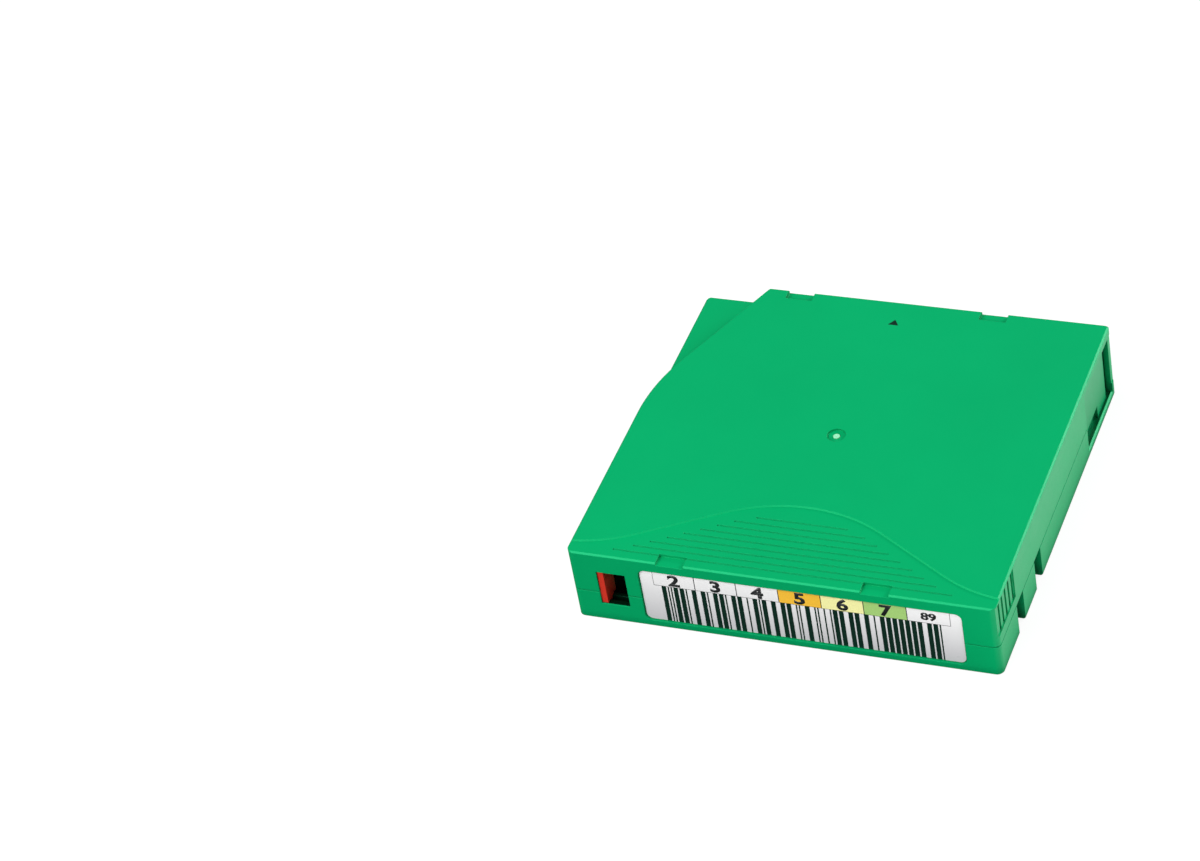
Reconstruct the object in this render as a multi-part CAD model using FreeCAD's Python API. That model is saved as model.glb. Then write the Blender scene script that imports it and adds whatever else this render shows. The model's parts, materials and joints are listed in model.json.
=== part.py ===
import FreeCAD, Part

import math
import os

# A half-inch, single-reel data tape cartridge, in millimetres.
# It lies on its bottom face. The origin is on that face, under the middle of the case.
# +X is across the case, towards the side with the door; +Y is the way it goes into a
# drive, so the label faces -Y; +Z is up.

V = FreeCAD.Vector

# ---- case shells ----
CASE_WIDTH = 105.4
CASE_LENGTH = 102.0
CASE_HEIGHT = 21.5
PARTING_HEIGHT = 9.2
SIDE_WALL = 1.7
BOTTOM_PLATE = 2.0
TOP_PLATE = 2.0
NEAR_CORNER_RADIUS = 1.75
FAR_CORNER_RADIUS = 1.0
EDGE_CHAMFER = 0.45
PARTING_GROOVE = 0.3          # height of the fine line under the parting plane
PARTING_GROOVE_DEPTH = 0.25

# ---- stepped corner that guides the cartridge in ----
GUIDE_DROP = 5.15             # how far the corner lies below the top
GUIDE_PLATE = 1.8
GUIDE_ANGLE = 156.8           # where the round of the raised part turns straight, about the reel
GUIDE_CORNER_RADIUS = 1.2

# ---- grip field on top ----
GRIP_DEPTH = 0.35
GRIP_BEVEL = 0.2              # width of the sloped edge of the field
GRIP_FRONT_BEVEL = 0.4        # broken edge between the field's floor and the label face
GRIP_CREST = 24.95            # from the label face to the top of the field's curve
GRIP_CREST_RADIUS = 38.0
GRIP_FLANK_ANGLE = 31.0
GRIP_FOOT_RADIUS = 36.0
GRIP_FOOT_ANGLE = 6.0
GRIP_LINE_START = 2.85        # from the label face to the first fine groove
GRIP_LINE_PITCH = 2.1
GRIP_LINE_WIDTH = 0.45
GRIP_LINE_DEPTH = 0.22
GRIP_LINE_MARGIN = 3.4        # from the grooves' ends to the field's curve

# ---- square notches in the top edges ----
EDGE_NOTCH_WIDTH = 6.9
EDGE_NOTCH_DEPTH = 3.3
EDGE_NOTCH_DROP = 1.1
EDGE_NOTCH_REACH = 25.2       # from the reel's axis, each way

# ---- finger grips on the upper shell's sides ----
SIDE_GRIP_LENGTH = 14.5
SIDE_GRIP_RELIEF = 0.3
SIDE_GRIP_BOTTOM = 12.0
SIDE_GRIP_TOP = 20.8
SIDE_GRIP_COUNT = 5
SIDE_GRIP_START = 3.1
SIDE_GRIP_PITCH = 2.6
SIDE_GRIP_WIDTH = 1.1
SIDE_GRIP_DEPTH = 0.45

# ---- handling notches in the lower shell's sides ----
NOTCH_STARTS = (14.4, 29.4)   # from the label face
NOTCH_WIDTH = 5.2
NOTCH_DEPTH_DOOR_SIDE = 4.5
NOTCH_DEPTH_TAB_SIDE = 3.1    # shallower, because the reel lies nearer to this side
NOTCH_WALL = 1.0

# ---- label ----
LABEL_LEFT = 17.6             # from the left side to the recess
LABEL_RIGHT = 8.3
LABEL_BOTTOM = 2.1
LABEL_TOP = 3.4               # from the top down to the recess
LABEL_RECESS = 0.65
LABEL_CORNER = 1.8
LABEL_MARGIN = 0.25
LABEL_THICKNESS = 0.2

# ---- write-protect slider ----
TAB_WINDOW_LEFT = 6.8         # from the left side
TAB_WINDOW_WIDTH = 7.3
TAB_WINDOW_BOTTOM = 5.4
TAB_WINDOW_HEIGHT = 10.15
TAB_WIDTH = 1.5
TAB_DEPTH = 5.2               # the block, from its face inwards
TAB_CLEARANCE = 0.12
TAB_INSET = 0.3               # its face, behind the label face
TAB_CARRIER = 1.2
TAB_CARRIER_OVERLAP = 4.2     # carrier beyond the block, on the left
TAB_RAIL = 1.0
TAB_SENSOR_WIDTH = 2.4        # opening in the bottom that tells where the slider stands

# ---- reel ----
REEL_X = -1.4
REEL_Y = 0.0
REEL_GAP = 1.0                # flange rim to the round bay
REEL_LIFT = 1.0               # lower flange above the bottom plate
REEL_SEAT_GAP = 0.1           # hub rim above the bottom plate
FLANGE_THICKNESS = 1.2
REEL_HEADROOM = 1.05          # upper flange below the top plate
TAPE_PLAY = 0.2               # each side of the tape, between the flanges
TAPE_RIM = 1.75               # flange beyond the wound tape
HUB_RADIUS = 22.0
HUB_WALL = 2.0
HUB_FLOOR = 1.5
HUB_RIM_WIDTH = 2.1
SPINDLE_OPENING_RADIUS = 17.4
SPINDLE_OPENING_GAP = 0.8     # hub rim outside the opening's edge
HUB_RECESS = 1.9              # hub floor above the bottom plate
FIT_GAP = 0.05

# ---- teeth: drive gear under the hub, brake teeth inside it ----
DRIVE_TEETH = 24
DRIVE_GEAR_INNER = 12.6
DRIVE_GEAR_WIDTH = 2.8
DRIVE_TOOTH_HEIGHT = 1.3
BRAKE_TEETH = 24
BUTTON_TEETH = 12             # the button has one for every second gap
BRAKE_RING_WIDTH = 2.4
BRAKE_RING_INSET = 0.8        # teeth to the hub's inner wall
BRAKE_TOOTH_HEIGHT = 1.2
BRAKE_MESH = 1.0              # how deep the two rings of teeth lie in each other
TOOTH_ROOT_SHARE = 0.58       # tooth at its root, as a share of the pitch inside the ring
TOOTH_TIP_SHARE = 0.26

# ---- clutch plate ----
CLUTCH_INNER = 5.0
CLUTCH_OUTER = 11.6
CLUTCH_THICKNESS = 0.6

# ---- brake button, its spring and the release pad ----
BRAKE_TRAVEL = 1.8
BUTTON_GAP = 0.6              # button's rim to the hub's inner wall
BUTTON_PLATE = 1.6
BUTTON_SOCKET_RADIUS = 6.2
BUTTON_SOCKET_HEIGHT = 5.0
BUTTON_SOCKET_FLOOR = 0.5
CROSS_SPAN = 9.0
CROSS_RIB = 1.6
CROSS_GAP = 0.15
CROSS_BOTTOM_GAP = 0.3        # cross boss to the socket's floor when the button is lifted
BRAKE_SPRING_GAP = 0.7        # inside of the coil to the socket
BRAKE_SPRING_WIRE = 0.7
BRAKE_SPRING_TURNS = 5.25
BRAKE_SPRING_FACETS = 10      # flats in each turn
RELEASE_ARMS = 3
RELEASE_PLATE = 1.25
RELEASE_TIP_RADIUS = 2.1
RELEASE_LEG_LENGTH = 2.6      # along the radius
RELEASE_LEG_WIDTH = 2.6
RELEASE_SLOT_GAP = 0.2
RELEASE_FOOT_INSET = 0.3      # foot above the tips of the drive gear

# ---- door ----
DOOR_WINDOW_START = 24.6      # from the far face back to the window's near edge
DOOR_WINDOW_END = 2.0         # from the far face to the window's far edge
DOOR_LIP = 0.2                # window's top edge below the top plate
DOOR_THICKNESS = 1.4
DOOR_CLEARANCE = 0.15
DOOR_WALL = 1.0               # side wall outside the door, thinner than elsewhere
DOOR_GROOVE = 0.7             # groove in the bottom plate that the door's foot runs in
DOOR_SILL = 0.55              # rim of the bottom plate outside the groove, in the window
DOOR_SILL_BEVEL = 0.4
DOOR_OVERLAP = 2.4            # door behind the wall when shut
DOOR_END_GAP = 0.3
DOOR_HOOK_DEPTH = 3.55        # how far the rounded end turns inwards
DOOR_HOOK_THICKNESS = 1.3
DOOR_END_RADIUS = 2.6
DOOR_HOOK_GAP = 0.45          # hook's ends to the rails
DOOR_TRAVEL = 21.5
DOOR_SCOOP_LENGTH = 12.6      # scoop low on the door, from the window's near edge
DOOR_SCOOP_HEIGHT = 3.9
DOOR_SCOOP_SLOPE = 2.0        # height of its sloped upper part
DOOR_SCOOP_DEPTH = 0.95
DOOR_RAIL = 0.8
DOOR_RAIL_HEIGHT = 1.1
DOOR_POST_INSET = 0.3         # corner post behind the plates' corners
DOOR_POST_FOOT = 2.4          # wider foot of the corner post, above the bottom plate

# ---- door spring ----
DOOR_SPRING_RADIUS = 1.15     # to the middle of the wire
DOOR_SPRING_WIRE = 0.4
DOOR_SPRING_TURNS = 10
DOOR_SPRING_FACETS = 6
DOOR_SPRING_HEIGHT = 12.6
DOOR_SPRING_SHUT = 15.6       # length that is left of it with the door open
DOOR_SPRING_STOP = 1.4
DOOR_SPRING_PEG = 1.1         # across each side of the square pegs inside the coil
DOOR_SPRING_PEG_LENGTH = 4.0
DOOR_TAIL = 1.1

# ---- leader pin, its clamp and its spring ----
PIN_INSET_X = 8.6             # from the door side
PIN_INSET_Y = 10.4            # from the far face
PIN_END_GAP = 0.1
PIN_FLANGE_RADIUS = 2.3
PIN_FLANGE = 1.2
PIN_SHAFT_RADIUS = 1.15
PIN_SEAT_GAP = 0.15
PIN_SEAT_HEIGHT = 1.3
PIN_SEAT_WALL = 1.4
CLAMP_WALL = 0.8
CLAMP_INSET = 0.4             # clamp inside the tape's edges, at each end
CLAMP_SLIT = 0.6
RETAINER_THICKNESS = 0.3
RETAINER_ARM_HEIGHT = 0.85
RETAINER_REACH = 3.2          # from the pin's middle to the upright blade
LEADER_THICKNESS = 0.25
LEADER_GAP = 0.35

# ---- memory board ----
BOARD_RIGHT = 9.2             # from the door side
BOARD_WIDTH = 16.0
BOARD_HEIGHT = 8.4
BOARD_THICKNESS = 0.6
BOARD_FOOT = 7.9              # its low edge, from the label face
BOARD_REST = 0.4              # its low edge above the bottom plate
BOARD_TILT = 45.0
BOARD_SUPPORT = 1.0
CHIP_SIZE = 4.6
CHIP_THICKNESS = 0.7

# ---- screws ----
SCREW_TAB_SIDE_FAR = (7.3, 7.2)        # each from its own side and end of the case
SCREW_DOOR_SIDE_FAR = (19.3, 4.4)
SCREW_TAB_SIDE_NEAR = (6.4, 10.6)
SCREW_DOOR_SIDE_NEAR = (6.3, 10.4)
SCREW_BOSS_RADIUS = 3.0
SCREW_HEAD_RADIUS = 2.0
SCREW_HEAD_HEIGHT = 1.3
SCREW_HEAD_INSET = 0.4        # head above the bottom face
SCREW_SHANK_RADIUS = 0.95
SCREW_LENGTH = 10.5
SCREW_HOLE_GAP = 0.15
SCREW_BOSS_SIDES = 8

# ---- walls and ribs inside ----
BAY_WALL = 1.2
BAY_RIB = 1.0
BAY_ARCS = ((112, 158), (203, 252), (281, 296), (320, 338))    # degrees about the reel
BAY_RIB_ANGLES = (122, 146, 208, 248, 285, 326)
GATE_RADIUS = 2.3
GATE_DEPTH = 0.55
BOTTOM_RELIEF_HALF = 18.1
BOTTOM_RELIEF_DEPTH = 0.3
BOTTOM_RELIEF_LENGTH = 6.0
LOCATING_HOLE_RADIUS = 2.5
LOCATING_HOLE_DEPTH = 3.0
LOCATING_HOLE_WALL = 1.2
LOCATING_HOLE_INSET = (8.1, 17.6)      # from the slider's side and the far end
JOIN = 0.3                    # how far one form runs into the next before they are fused

# ---- places worked out from the sizes above ----
LEFT, RIGHT = -CASE_WIDTH / 2, CASE_WIDTH / 2
NEAR, FAR = -CASE_LENGTH / 2, CASE_LENGTH / 2
TOP_UNDERSIDE = CASE_HEIGHT - TOP_PLATE
GUIDE_TOP = CASE_HEIGHT - GUIDE_DROP
GUIDE_UNDERSIDE = GUIDE_TOP - GUIDE_PLATE
GUIDE_ROUND = CASE_WIDTH / 2 + REEL_X          # round of the raised part, about the reel
BAY_RADIUS = GUIDE_ROUND - SIDE_WALL
FLANGE_RADIUS = min(BAY_RADIUS, CASE_LENGTH / 2 - SIDE_WALL - abs(REEL_Y)) - REEL_GAP

LOWER_FLANGE_Z = BOTTOM_PLATE + REEL_LIFT
TAPE_Z = LOWER_FLANGE_Z + FLANGE_THICKNESS + TAPE_PLAY
UPPER_FLANGE_Z = TOP_UNDERSIDE - REEL_HEADROOM - FLANGE_THICKNESS
TAPE_WIDTH = UPPER_FLANGE_Z - TAPE_PLAY - TAPE_Z
HUB_INNER = HUB_RADIUS - HUB_WALL
HUB_FLOOR_Z = BOTTOM_PLATE + HUB_RECESS
HUB_FLOOR_TOP = HUB_FLOOR_Z + HUB_FLOOR
DRIVE_GEAR_MIDDLE = DRIVE_GEAR_INNER + DRIVE_GEAR_WIDTH / 2
BRAKE_OUTER = HUB_INNER - BRAKE_RING_INSET
BRAKE_INNER = BRAKE_OUTER - BRAKE_RING_WIDTH
BUTTON_Z = HUB_FLOOR_TOP + 2 * BRAKE_TOOTH_HEIGHT - BRAKE_MESH
BUTTON_TOP = BUTTON_Z + BUTTON_PLATE
SOCKET_FLOOR_Z = BUTTON_TOP + BUTTON_SOCKET_FLOOR
SOCKET_TOP = BUTTON_TOP + BUTTON_SOCKET_HEIGHT
CROSS_Z = SOCKET_FLOOR_Z + BRAKE_TRAVEL + CROSS_BOTTOM_GAP

DOOR_FACE = RIGHT - DOOR_WALL - DOOR_CLEARANCE
DOOR_BACK = DOOR_FACE - DOOR_THICKNESS
DOOR_BOTTOM = BOTTOM_PLATE - DOOR_GROOVE + DOOR_CLEARANCE
DOOR_TOP = TOP_UNDERSIDE - DOOR_CLEARANCE
WINDOW_NEAR = FAR - DOOR_WINDOW_START
WINDOW_FAR = FAR - DOOR_WINDOW_END
WINDOW_TOP = TOP_UNDERSIDE - DOOR_LIP
DOOR_FAR = WINDOW_FAR - DOOR_END_GAP
DOOR_NEAR = WINDOW_NEAR - DOOR_OVERLAP
RAIL_OUTER = DOOR_BACK - DOOR_CLEARANCE
RAIL_INNER = RAIL_OUTER - DOOR_RAIL
SPRING_X = RIGHT - SIDE_WALL - DOOR_CLEARANCE - DOOR_SPRING_RADIUS - DOOR_SPRING_WIRE / 2
SPRING_NEAR = DOOR_NEAR - DOOR_TRAVEL - DOOR_SPRING_SHUT

PIN_X = RIGHT - PIN_INSET_X
PIN_Y = FAR - PIN_INSET_Y
PIN_BOTTOM = BOTTOM_PLATE + PIN_END_GAP
PIN_TOP = TOP_UNDERSIDE - PIN_END_GAP

SCREW_PLACES = ((LEFT + SCREW_TAB_SIDE_FAR[0], FAR - SCREW_TAB_SIDE_FAR[1]),
                (RIGHT - SCREW_DOOR_SIDE_FAR[0], FAR - SCREW_DOOR_SIDE_FAR[1]),
                (LEFT + SCREW_TAB_SIDE_NEAR[0], NEAR + SCREW_TAB_SIDE_NEAR[1]),
                (RIGHT - SCREW_DOOR_SIDE_NEAR[0], NEAR + SCREW_DOOR_SIDE_NEAR[1]))
LOCATING_HOLE = (LEFT + LOCATING_HOLE_INSET[0], FAR - LOCATING_HOLE_INSET[1])

TAB_LEFT = LEFT + TAB_WINDOW_LEFT + TAB_CLEARANCE
TAB_RAIL_Y = NEAR + SIDE_WALL + TAB_CLEARANCE + TAB_CARRIER + TAB_CLEARANCE
TAB_TRAVEL = TAB_WINDOW_WIDTH - TAB_WIDTH - 2 * TAB_CLEARANCE


# ---- forms that are used more than once ----
def box(x0, x1, y0, y1, z0, z1):
    return Part.makeBox(x1 - x0, y1 - y0, z1 - z0, V(x0, y0, z0))


def disc(x, y, z0, z1, radius):
    return Part.makeCylinder(radius, z1 - z0, V(x, y, z0))


def ring(x, y, z0, z1, inner, outer):
    return disc(x, y, z0, z1, outer).cut(disc(x, y, z0, z1, inner))


def fuse(first, *others):
    """Join forms that touch or overlap into one solid with clean faces."""
    return first.multiFuse(list(others)).removeSplitter()


def rounded_outline(corners):
    """A closed wire through (x, y, radius) corners, each rounded by a tangent arc."""
    ends = []
    for i, (x, y, radius) in enumerate(corners):
        corner = V(x, y, 0)
        before = V(*corners[i - 1][:2], 0) - corner
        after = V(*corners[(i + 1) % len(corners)][:2], 0) - corner
        before.normalize()
        after.normalize()
        if radius <= 0:
            ends.append((corner, None, corner))
            continue
        half = before.getAngle(after) / 2
        middle = before + after
        middle.normalize()
        reach = radius / math.tan(half)
        nearest = corner + middle * (radius / math.sin(half) - radius)
        ends.append((corner + before * reach, nearest, corner + after * reach))
    edges = []
    for i, (start, nearest, finish) in enumerate(ends):
        if nearest is not None:
            edges.append(Part.Arc(start, nearest, finish).toShape())
        following = ends[(i + 1) % len(ends)][0]
        if (following - finish).Length > 1e-6:
            edges.append(Part.makeLine(finish, following))
    return Part.Wire(edges)


def prism(wire, z0, z1):
    """The solid over a flat outline, from height z0 to z1."""
    face = Part.Face(wire)
    face.translate(V(0, 0, z0))
    return face.extrude(V(0, 0, z1 - z0))


def front_plate(x0, x1, z0, z1, radius, y0, y1):
    """A plate with rounded corners that stands across the label face."""
    corners = [(x0, z0, radius), (x1, z0, radius), (x1, z1, radius), (x0, z1, radius)]
    plate = prism(rounded_outline(corners), 0, y1 - y0)
    plate.rotate(V(0, 0, 0), V(1, 0, 0), 90)
    plate.translate(V(0, y1, 0))
    return plate


def soften_level(solid, z):
    """Break every edge that lies flat at height z."""
    edges = [e for e in solid.Edges if all(abs(v.Z - z) < 1e-6 for v in e.Vertexes)]
    return solid.makeChamfer(EDGE_CHAMFER, edges)


def post(x, y, z0, z1, across):
    """An upright post with flat sides, across its flats."""
    corner = across / 2 / math.cos(math.pi / SCREW_BOSS_SIDES)
    turns = [2 * math.pi * (i + 0.5) / SCREW_BOSS_SIDES for i in range(SCREW_BOSS_SIDES)]
    points = [V(x + corner * math.cos(t), y + corner * math.sin(t), 0) for t in turns]
    return prism(Part.makePolygon(points + points[:1]), z0, z1)


def sector(inner, outer, z0, z1, start, finish):
    """Part of a ring about the reel's axis, between two angles in degrees."""
    wall = Part.makeCylinder(outer, z1 - z0, V(0, 0, z0), V(0, 0, 1), finish - start)
    wall = wall.cut(disc(0, 0, z0, z1, inner))
    wall.rotate(V(0, 0, 0), V(0, 0, 1), start)
    wall.translate(V(REEL_X, REEL_Y, 0))
    return wall


def coil_spring(mean_radius, wire, turns, length, steps_a_turn):
    """An open coil about Z from z = 0 to z = length, of square wire in flat facets."""
    steps = int(turns * steps_a_turn)
    half = wire / 2
    sections = []
    for i in range(steps + 1):
        angle = 2 * math.pi * turns * i / steps
        z = half + (length - wire) * i / steps
        out = V(math.cos(angle), math.sin(angle), 0)
        corners = ((-half, -half), (half, -half), (half, half), (-half, half))
        sections.append([out * (mean_radius + r) + V(0, 0, z + h) for r, h in corners])
    triangles = []
    for first, second in zip(sections, sections[1:]):
        for j in range(4):
            k = (j + 1) % 4
            triangles.append((first[j], first[k], second[k]))
            triangles.append((first[j], second[k], second[j]))
    faces = [Part.Face(Part.makePolygon([a, b, c, a])) for a, b, c in triangles]
    faces += [Part.Face(Part.makePolygon(end + end[:1])) for end in (sections[0], sections[-1])]
    coil = Part.Solid(Part.Shell(faces))
    if coil.Volume < 0:
        coil.reverse()
    return coil


def toothed_ring(inner, outer, root_z, tip_z, count, turn):
    """Straight teeth with tapered flanks round the reel's axis, each run into its base."""
    pitch = 2 * math.pi * inner / count
    root, tip = pitch * TOOTH_ROOT_SHARE / 2, pitch * TOOTH_TIP_SHARE / 2
    sunk = math.copysign(JOIN, root_z - tip_z)
    profile = [V(inner, -root, root_z + sunk), V(inner, -root, root_z), V(inner, -tip, tip_z),
               V(inner, tip, tip_z), V(inner, root, root_z), V(inner, root, root_z + sunk)]
    face = Part.Face(Part.makePolygon(profile + profile[:1]))
    tooth = face.extrude(V(outer - inner, 0, 0))
    teeth = []
    for i in range(count):
        copy = tooth.copy()
        copy.rotate(V(0, 0, 0), V(0, 0, 1), turn + 360 * i / count)
        copy.translate(V(REEL_X, REEL_Y, 0))
        teeth.append(copy)
    return teeth


def ribbon(path, thickness):
    """The outline of a strip of even thickness that follows a line with mitred bends."""
    sides = []
    for i, point in enumerate(path):
        before = point - path[i - 1] if i else path[1] - point
        after = path[i + 1] - point if i + 1 < len(path) else before
        before, after = V(before).normalize(), V(after).normalize()
        across = V(-(before.y + after.y), before.x + after.x, 0).normalize()
        reach = thickness / 2 / across.dot(V(-before.y, before.x, 0))
        sides.append((point + across * reach, point - across * reach))
    outline = [left for left, _ in sides] + [right for _, right in reversed(sides)]
    return Part.makePolygon(outline + outline[:1])


def cross(span, rib, z0, z1):
    """Two crossing ribs about the reel's axis."""
    along = box(-span / 2, span / 2, -rib / 2, rib / 2, z0, z1)
    across = box(-rib / 2, rib / 2, -span / 2, span / 2, z0, z1)
    both = fuse(along, across)
    both.translate(V(REEL_X, REEL_Y, 0))
    return both


def round_the_reel(shape, count):
    """Copies of a form, evenly turned about the reel's axis."""
    copies = []
    for i in range(count):
        copy = shape.copy()
        copy.rotate(V(REEL_X, REEL_Y, 0), V(0, 0, 1), 360 * i / count)
        copies.append(copy)
    return copies


# ---- the case ----
def full_outline(inset):
    """The whole footprint of the case, drawn in by a wall."""
    def radius(size):
        return size - inset if size - inset > JOIN else 0
    x0, x1, y0, y1 = LEFT + inset, RIGHT - inset, NEAR + inset, FAR - inset
    return rounded_outline([(x0, y0, radius(NEAR_CORNER_RADIUS)), (x1, y0, radius(NEAR_CORNER_RADIUS)),
                            (x1, y1, radius(FAR_CORNER_RADIUS)), (x0, y1, radius(GUIDE_CORNER_RADIUS))])


def raised_outline(inset):
    """The footprint above the stepped corner: its left side follows the reel's round."""
    def radius(size):
        return size - inset if size - inset > JOIN else 0
    x0, x1, y0, y1 = LEFT + inset, RIGHT - inset, NEAR + inset, FAR - inset
    turn = math.radians(GUIDE_ANGLE)
    bay = GUIDE_ROUND - inset
    bend_y = REEL_Y + bay * (1 + math.cos(turn)) / math.sin(turn)
    far_x = REEL_X + (bay - (y1 - REEL_Y) * math.sin(turn)) / math.cos(turn)
    return rounded_outline([(x0, y0, radius(NEAR_CORNER_RADIUS)), (x1, y0, radius(NEAR_CORNER_RADIUS)),
                            (x1, y1, radius(FAR_CORNER_RADIUS)), (far_x, y1, radius(FAR_CORNER_RADIUS)),
                            (x0, bend_y, bay)])


def case_block():
    """The case's outer form, with its edges broken."""
    base = prism(full_outline(0), 0, GUIDE_TOP)
    base = soften_level(soften_level(base, 0), GUIDE_TOP)
    raised = soften_level(prism(raised_outline(0), PARTING_HEIGHT, CASE_HEIGHT), CASE_HEIGHT)
    return fuse(base, raised)


def case_hollow():
    low = prism(full_outline(SIDE_WALL), BOTTOM_PLATE, GUIDE_UNDERSIDE)
    high = prism(raised_outline(SIDE_WALL), BOTTOM_PLATE, TOP_UNDERSIDE)
    return fuse(low, high)


def inside_limit():
    """The hollow, drawn a little into the walls, which trims what stands inside."""
    grow = SIDE_WALL - JOIN
    low = prism(full_outline(grow), BOTTOM_PLATE - JOIN, GUIDE_UNDERSIDE + JOIN)
    high = prism(raised_outline(grow), BOTTOM_PLATE - JOIN, TOP_UNDERSIDE + JOIN)
    return fuse(low, high)


def parting_line():
    """The narrow step round the lower shell's rim, which shows as a line between the shells."""
    z0, z1 = PARTING_HEIGHT - PARTING_GROOVE, PARTING_HEIGHT + 1
    outside = box(LEFT - 1, RIGHT + 1, NEAR - 1, FAR + 1, z0, z1)
    return outside.cut(prism(full_outline(PARTING_GROOVE_DEPTH), z0, z1))


def bay_walls(z0, z1):
    """Round walls about the reel in three corners, with ribs out to the case."""
    outer = BAY_RADIUS + BAY_WALL
    walls = [sector(BAY_RADIUS, outer, z0, z1, start, finish) for start, finish in BAY_ARCS]
    for angle in BAY_RIB_ANGLES:
        rib = box(BAY_RADIUS + JOIN, CASE_WIDTH, -BAY_RIB / 2, BAY_RIB / 2, z0, z1)
        rib.rotate(V(0, 0, 0), V(0, 0, 1), angle)
        rib.translate(V(REEL_X, REEL_Y, 0))
        walls.append(rib)
    return walls


def notch_spans():
    """Each handling notch: its inner face, its outer side and its two ends along Y."""
    spans = []
    for start in NOTCH_STARTS:
        y0, y1 = NEAR + start, NEAR + start + NOTCH_WIDTH
        spans.append((RIGHT - NOTCH_DEPTH_DOOR_SIDE, RIGHT, y0, y1))
        spans.append((LEFT, LEFT + NOTCH_DEPTH_TAB_SIDE, y0, y1))
    return spans


def notch_block(x0, x1, y0, y1, z0, z1, grow, outside):
    """A notch's space, or with grow the block that leaves its walls."""
    x0, x1 = (x0 - grow, x1 + outside) if x1 > 0 else (x0 - outside, x1 + grow)
    return box(x0, x1, y0 - grow, y1 + grow, z0, z1)


def door_rail(z0, z1):
    return box(RAIL_INNER, RAIL_OUTER, DOOR_NEAR - DOOR_TRAVEL, WINDOW_FAR + JOIN, z0, z1)


def pin_seat(z0, z1):
    """A raised seat for one end of the pin, open towards the door."""
    reach = PIN_FLANGE_RADIUS + PIN_SEAT_GAP
    block = box(PIN_X - reach - PIN_SEAT_WALL, PIN_X + PIN_FLANGE_RADIUS,
                PIN_Y - reach - PIN_SEAT_WALL - RETAINER_THICKNESS, PIN_Y + reach + PIN_SEAT_WALL, z0, z1)
    block = block.cut(disc(PIN_X, PIN_Y, z0, z1, reach))
    block = block.cut(box(PIN_X, RIGHT, PIN_Y - reach, PIN_Y + reach, z0, z1))
    blade_y = PIN_Y - RETAINER_REACH
    slot = RETAINER_THICKNESS / 2 + FIT_GAP
    return block.cut(box(PIN_X - RETAINER_REACH - slot, RIGHT, blade_y - slot, blade_y + slot, z0, z1))


def tab_rails(z0, z1):
    """A rib behind the slider's carrier, as long as the carrier's whole travel."""
    x0 = TAB_LEFT - TAB_CARRIER_OVERLAP - TAB_RAIL
    x1 = TAB_LEFT + TAB_WIDTH + TAB_TRAVEL + TAB_RAIL
    return box(x0, x1, TAB_RAIL_Y, TAB_RAIL_Y + TAB_RAIL, z0, z1)


def board_supports():
    """Three sloped ribs that the memory board leans on."""
    low_y, z0 = NEAR + BOARD_FOOT, BOTTOM_PLATE + BOARD_REST
    lean = math.tan(math.radians(BOARD_TILT))
    run = (PARTING_HEIGHT - z0) / lean
    wall_y, sunk_z = NEAR + SIDE_WALL - JOIN, BOTTOM_PLATE - JOIN
    profile = [V(0, low_y, sunk_z), V(0, low_y, z0), V(0, low_y - run, PARTING_HEIGHT),
               V(0, wall_y, PARTING_HEIGHT), V(0, wall_y, sunk_z)]
    face = Part.Face(Part.makePolygon(profile + profile[:1]))
    rib = face.extrude(V(BOARD_SUPPORT, 0, 0))
    ribs = []
    for share in (0.08, 0.5, 0.92):
        copy = rib.copy()
        copy.translate(V(RIGHT - BOARD_RIGHT - BOARD_WIDTH * share - BOARD_SUPPORT / 2, 0, 0))
        ribs.append(copy)
    return ribs


def label_recess():
    return front_plate(LEFT + LABEL_LEFT, RIGHT - LABEL_RIGHT, LABEL_BOTTOM, CASE_HEIGHT - LABEL_TOP,
                       LABEL_CORNER, NEAR - 1, NEAR + LABEL_RECESS)


def tab_window():
    x0 = LEFT + TAB_WINDOW_LEFT
    return box(x0, x0 + TAB_WINDOW_WIDTH, NEAR - 1, NEAR + SIDE_WALL + JOIN,
               TAB_WINDOW_BOTTOM, TAB_WINDOW_BOTTOM + TAB_WINDOW_HEIGHT)


def door_window():
    """The opening in the side, and the corner post's set-back behind the plates."""
    opening = box(RIGHT - SIDE_WALL - JOIN, RIGHT + 1, WINDOW_NEAR, WINDOW_FAR, BOTTOM_PLATE, WINDOW_TOP)
    set_back = box(RIGHT - DOOR_POST_INSET, RIGHT + 1, WINDOW_FAR - JOIN, FAR + 1,
                   BOTTOM_PLATE + DOOR_POST_FOOT, WINDOW_TOP)
    return fuse(opening, set_back)


def door_channel():
    """The door's way inside the side wall, with the groove for its foot."""
    near, far = DOOR_NEAR - DOOR_TRAVEL - DOOR_CLEARANCE, WINDOW_FAR
    wall, z0, z1 = RIGHT - DOOR_WALL, BOTTOM_PLATE - DOOR_GROOVE, BOTTOM_PLATE + JOIN
    channel = box(RIGHT - SIDE_WALL - JOIN, wall, near, far, BOTTOM_PLATE, TOP_UNDERSIDE)
    groove = box(RAIL_OUTER, wall, near, far, z0, z1)
    slot = box(RAIL_OUTER, RIGHT - DOOR_SILL, WINDOW_NEAR, far, z0, z1)
    return fuse(channel, groove, slot)


def sill_bevel():
    """The sloped outer edge of the rim under the door."""
    reach = DOOR_SILL_BEVEL + JOIN
    profile = [V(RIGHT - DOOR_SILL_BEVEL, 0, BOTTOM_PLATE), V(RIGHT + JOIN, 0, BOTTOM_PLATE - reach),
               V(RIGHT + JOIN, 0, BOTTOM_PLATE)]
    wedge = Part.Face(Part.makePolygon(profile + profile[:1])).extrude(V(0, WINDOW_FAR - WINDOW_NEAR, 0))
    wedge.translate(V(0, WINDOW_NEAR, 0))
    return wedge


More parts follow.
